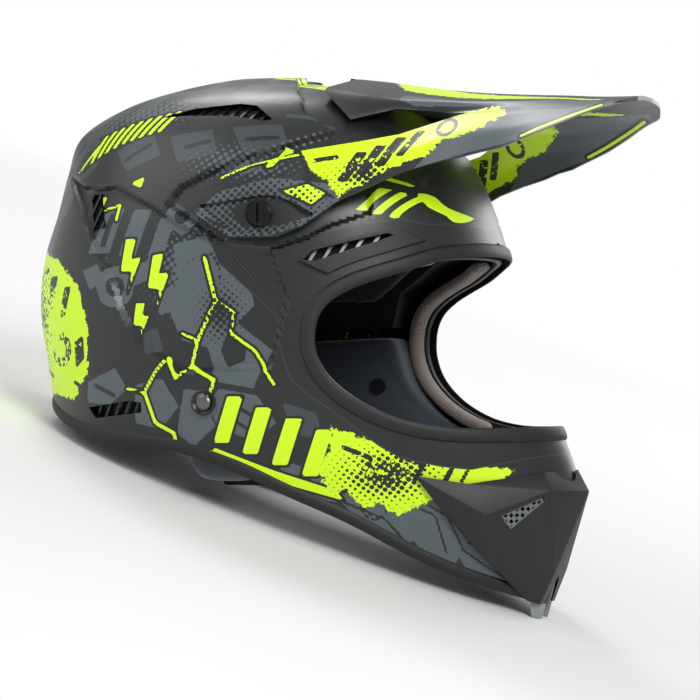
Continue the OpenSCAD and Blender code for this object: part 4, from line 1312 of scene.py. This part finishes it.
# %% Chin straps
STRAP_X, STRAP_W, STRAP_T, STRAP_Z = 20, 25.0, 2.0, -112.3
LOOP_Y, RING_GAP = 60, 2.2
DROP = [(113.6, -58), (113.4, -70), (111.8, -82), (107.5, -92), (103, -100), (97, -107.5),
        (88, -111.6), (78, -112.3)]


def strap_path(yz, per=6):
    """3-D path and normals for a band in the plane x = STRAP_X."""
    p = smooth(yz, per)
    way = np.gradient(p, axis=0)
    way /= np.linalg.norm(way, axis=1, keepdims=True)
    pts = np.c_[np.full(len(p), STRAP_X), p]
    return pts, np.c_[np.zeros(len(p)), way[:, 1], -way[:, 0]]


def band(name, yz, width, thick, sign, per=6, closed=False, square=6.0, size=None):
    pts, out = strap_path(yz, per)
    if closed:
        pts, out = pts[:-1], out[:-1]
    flip = np.array([1, sign, 1])
    return sweep(name, pts * flip, out * flip, oval(0, 0, width / 2, thick / 2, 28, square),
                 closed, size, toward=(1, 0, 0))


def join(name, parts):
    bm = bmesh.new()
    for o in parts:
        bm.from_mesh(o.data)
    data = bpy.data.meshes.new(name)
    bm.to_mesh(data)
    bm.free()
    for o in parts:
        bpy.data.objects.remove(o)
    o = bpy.data.objects.new(name, data)
    bpy.context.scene.collection.objects.link(o)
    return o


def stitches(rows, sign, raise_by):
    """Short threads along straight rows given as ((x, y, z), (x, y, z))."""
    parts = []
    for a, b in rows:
        a, b = np.array(a, float), np.array(b, float)
        n = int(np.linalg.norm(b - a) / 3.2)
        for k in range(n):
            p = a + (b - a) * (k + 0.5) / n
            way = (b - a) / np.linalg.norm(b - a)
            pts = np.array([p + way * s for s in (-1.1, -0.5, 0.5, 1.1)])
            pts[:, 2] += np.array([-0.25, 0.1, 0.1, -0.25]) * raise_by
            out = np.tile([0.0, 0.0, 1.0], (4, 1))
            flip = np.array([1, sign, 1])
            parts.append(sweep("thread", pts * flip, out, oval(0, 0, 0.35, 0.3, 8), False,
                               np.array([0.6, 1, 1, 0.6]), toward=(1, 0, 0)))
    return parts


THREAD = woven("thread", "5a5d60", "3a3c3e", 0.8, 0.1)
left_turn = [(12 - 3.4 * math.sin(a), STRAP_Z + 2.4 - 2.4 * math.cos(a))
             for a in np.linspace(0.3, math.pi - 0.3, 7)]
fold = DROP + [(60, STRAP_Z), (36, STRAP_Z), (16, STRAP_Z)] + left_turn + [
    (16, STRAP_Z + 4.8), (40, STRAP_Z + 4.8), (64, STRAP_Z + 4.8)]
strap_left = band("webbing_left", fold, STRAP_W, STRAP_T, 1)
loop = [(LOOP_Y + 4.3 * math.cos(a), STRAP_Z + RING_GAP * (1 if math.sin(a) > 0 else -1)
         + 4.3 * math.sin(a)) for a in np.linspace(0, math.tau, 25)]
strap_right = join("webbing_right", [
    band("a", DROP + [(66, STRAP_Z)], STRAP_W, STRAP_T, -1),
    band("b", loop, STRAP_W - 1, STRAP_T, -1, per=2, closed=True)])
for o, node in ((strap_left, "chin_strap_left"), (strap_right, "chin_strap_right")):
    finish_piece(o, "shell", WEBBING, 60, (node,))
for sign, side in ((1, "left"), (-1, "right")):
    rows = [((STRAP_X + s * 9, 68, STRAP_Z - 1.05), (STRAP_X + s * 9, 86, STRAP_Z - 1.0))
            for s in (-1, 0, 1)]
    o = join("strap_stitching_" + side, stitches(rows, sign, -1))
    finish_piece(o, "shell", THREAD, 60)

# %% Strap sleeves
for sign, side in ((1, "left"), (-1, "right")):
    path = [p for p in DROP if p[0] < 108]
    n = (len(path) - 1) * 6 + 1
    run = np.linspace(0, 1, n)
    size = 0.72 + 0.28 * np.clip(np.minimum(run, 1 - run) / 0.12, 0, 1) ** 0.5
    o = band("strap_sleeve_" + side, path, STRAP_W + 8, 9, sign, square=2.8, size=size)
    finish_piece(o, "shell", PLUSH, 60, ("strap_pad_" + side,))

# %% [markdown]
# Hard parts whose CAD shape is already right stay as they are: screws, rings,
# rivets, meshes and foam. They only need their finish, set on the object so that
# the CAD mesh itself isn't touched.

# %% Finish the CAD nodes that stay
FINISHES = {
    FOAM: ["impact_liner", "chin_liner"],
    GREY_TRIM: ["base_trim_end_left", "base_trim_end_right"],
    STEEL_MESH: ["chin_vent_mesh", "brow_vent_mesh"],
    BLACK_MESH: ["breath_mesh", "brow_intake", "crown_vent_mesh", "rear_exhaust_grille",
                 "cheek_vent_grille"],
    SMOOTH_BLACK: ["pad_snaps", "rivet_bezels", "peak_bushes"],
    RIVET_STEEL: ["strap_rivet_left", "strap_rivet_right", "peak_inserts"],
    PLATED: ["d_ring_outer", "d_ring_inner"],
    COATED_SCREW: ["peak_screw_left", "peak_screw_right", "peak_screw_centre"]}
for finish, names in FINISHES.items():
    for name in names:
        for s in frame["nodes"][name].material_slots:
            s.link = "OBJECT"
            s.material = finish
print("CAD nodes finished", sum(len(v) for v in FINISHES.values()))

# %% [markdown]
# The camera stands level with the head, a little in front of the right side, and
# leans with the helmet's own tilt. A long lens keeps the shapes calm.

# %% Camera
def camera():
    yaw, lift, away = math.radians(20), math.radians(-1), 1700
    back = np.array([math.sin(yaw) * math.cos(lift), -math.cos(yaw) * math.cos(lift),
                     math.sin(lift)])
    right = np.array([math.cos(yaw), math.sin(yaw), 0])
    up = np.cross(back, right)
    aim = right * 61.9 - up * 37.5
    data = bpy.data.cameras.new("camera")
    data.lens, data.sensor_width = 139.9, 36
    o = bpy.data.objects.new("camera", data)
    bpy.context.scene.collection.objects.link(o)
    axes = np.stack([right, up, back]) @ TURN.T
    m = Matrix(axes.T.tolist()).to_4x4()
    m.translation = Vector(stand(aim + back * away))
    o.matrix_world = m
    bpy.context.scene.camera = o
    return o


camera()
print("camera set")

# %% [markdown]
# A plain pale floor and soft lamps: a large key above and in front of the right side, a wide fill
# from the left, and a rim from behind. The world is pale to the camera and to transmitted rays, and
# dimmer as a light and in reflections.

# %% Floor and light
def floor():
    bpy.ops.mesh.primitive_plane_add(size=14, location=(0, 0, -0.0004))
    o = bpy.context.object
    o.name = "floor"
    m, tree, shader, place = material("pale_floor", Roughness=0.9)
    n = noise(tree, place, 0.004)
    shade = mixed(tree, n, rgb("dcdcdc"), rgb("e4e4e4"))
    tree.links.new(shade, shader.inputs["Base Color"])
    lamp = add(tree, "ShaderNodeEmission", {"Color": rgb("ffffff"), "Strength": 1.0})
    path = add(tree, "ShaderNodeLightPath").outputs
    far = add(tree, "ShaderNodeVectorMath", {0: place}, operation="LENGTH").outputs["Value"]
    fade = calc(tree, "MULTIPLY", calc(tree, "SUBTRACT", far, 450.0), 1 / 1500, clamp=True)
    share = calc(tree, "MULTIPLY", fade, path["Is Camera Ray"])
    mix = add(tree, "ShaderNodeMixShader", {0: share, 1: shader.outputs[0], 2: lamp.outputs[0]})
    tree.links.new(mix.outputs[0], tree.nodes["Material Output"].inputs["Surface"])
    o.data.materials.append(m)


def lamp(name, spot, size, watts, target=(0, 0, 0.15)):
    data = bpy.data.lights.new(name, "AREA")
    data.shape, data.size, data.energy = "DISK", size, watts
    o = bpy.data.objects.new(name, data)
    bpy.context.scene.collection.objects.link(o)
    o.location = spot
    o.rotation_euler = (Vector(target) - Vector(spot)).to_track_quat("-Z", "Y").to_euler()


def world():
    w = bpy.data.worlds.new("studio")
    bpy.context.scene.world = w
    w.use_nodes = True
    tree = w.node_tree
    path = add(tree, "ShaderNodeLightPath").outputs
    seen = calc(tree, "MAXIMUM", path["Is Camera Ray"], path["Is Transmission Ray"])
    tree.links.new(calc(tree, "ADD", calc(tree, "MULTIPLY", seen, 1 - WORLD_LIGHT), WORLD_LIGHT),
                   tree.nodes["Background"].inputs["Strength"])
    tree.nodes["Background"].inputs["Color"].default_value = (1, 1, 1, 1)


WORLD_LIGHT = 0.45
floor()
world()
lamp("key", (0.9, -1.3, 1.5), 0.9, 26)
lamp("fill", (-1.3, -1.0, 0.8), 1.4, 9)
lamp("left", (0.4, 1.7, 0.9), 1.2, 12)
lamp("rim", (-1.2, 0.7, 1.6), 0.7, 14)
bpy.context.scene.view_settings.view_transform = "Standard"
print("stage set")
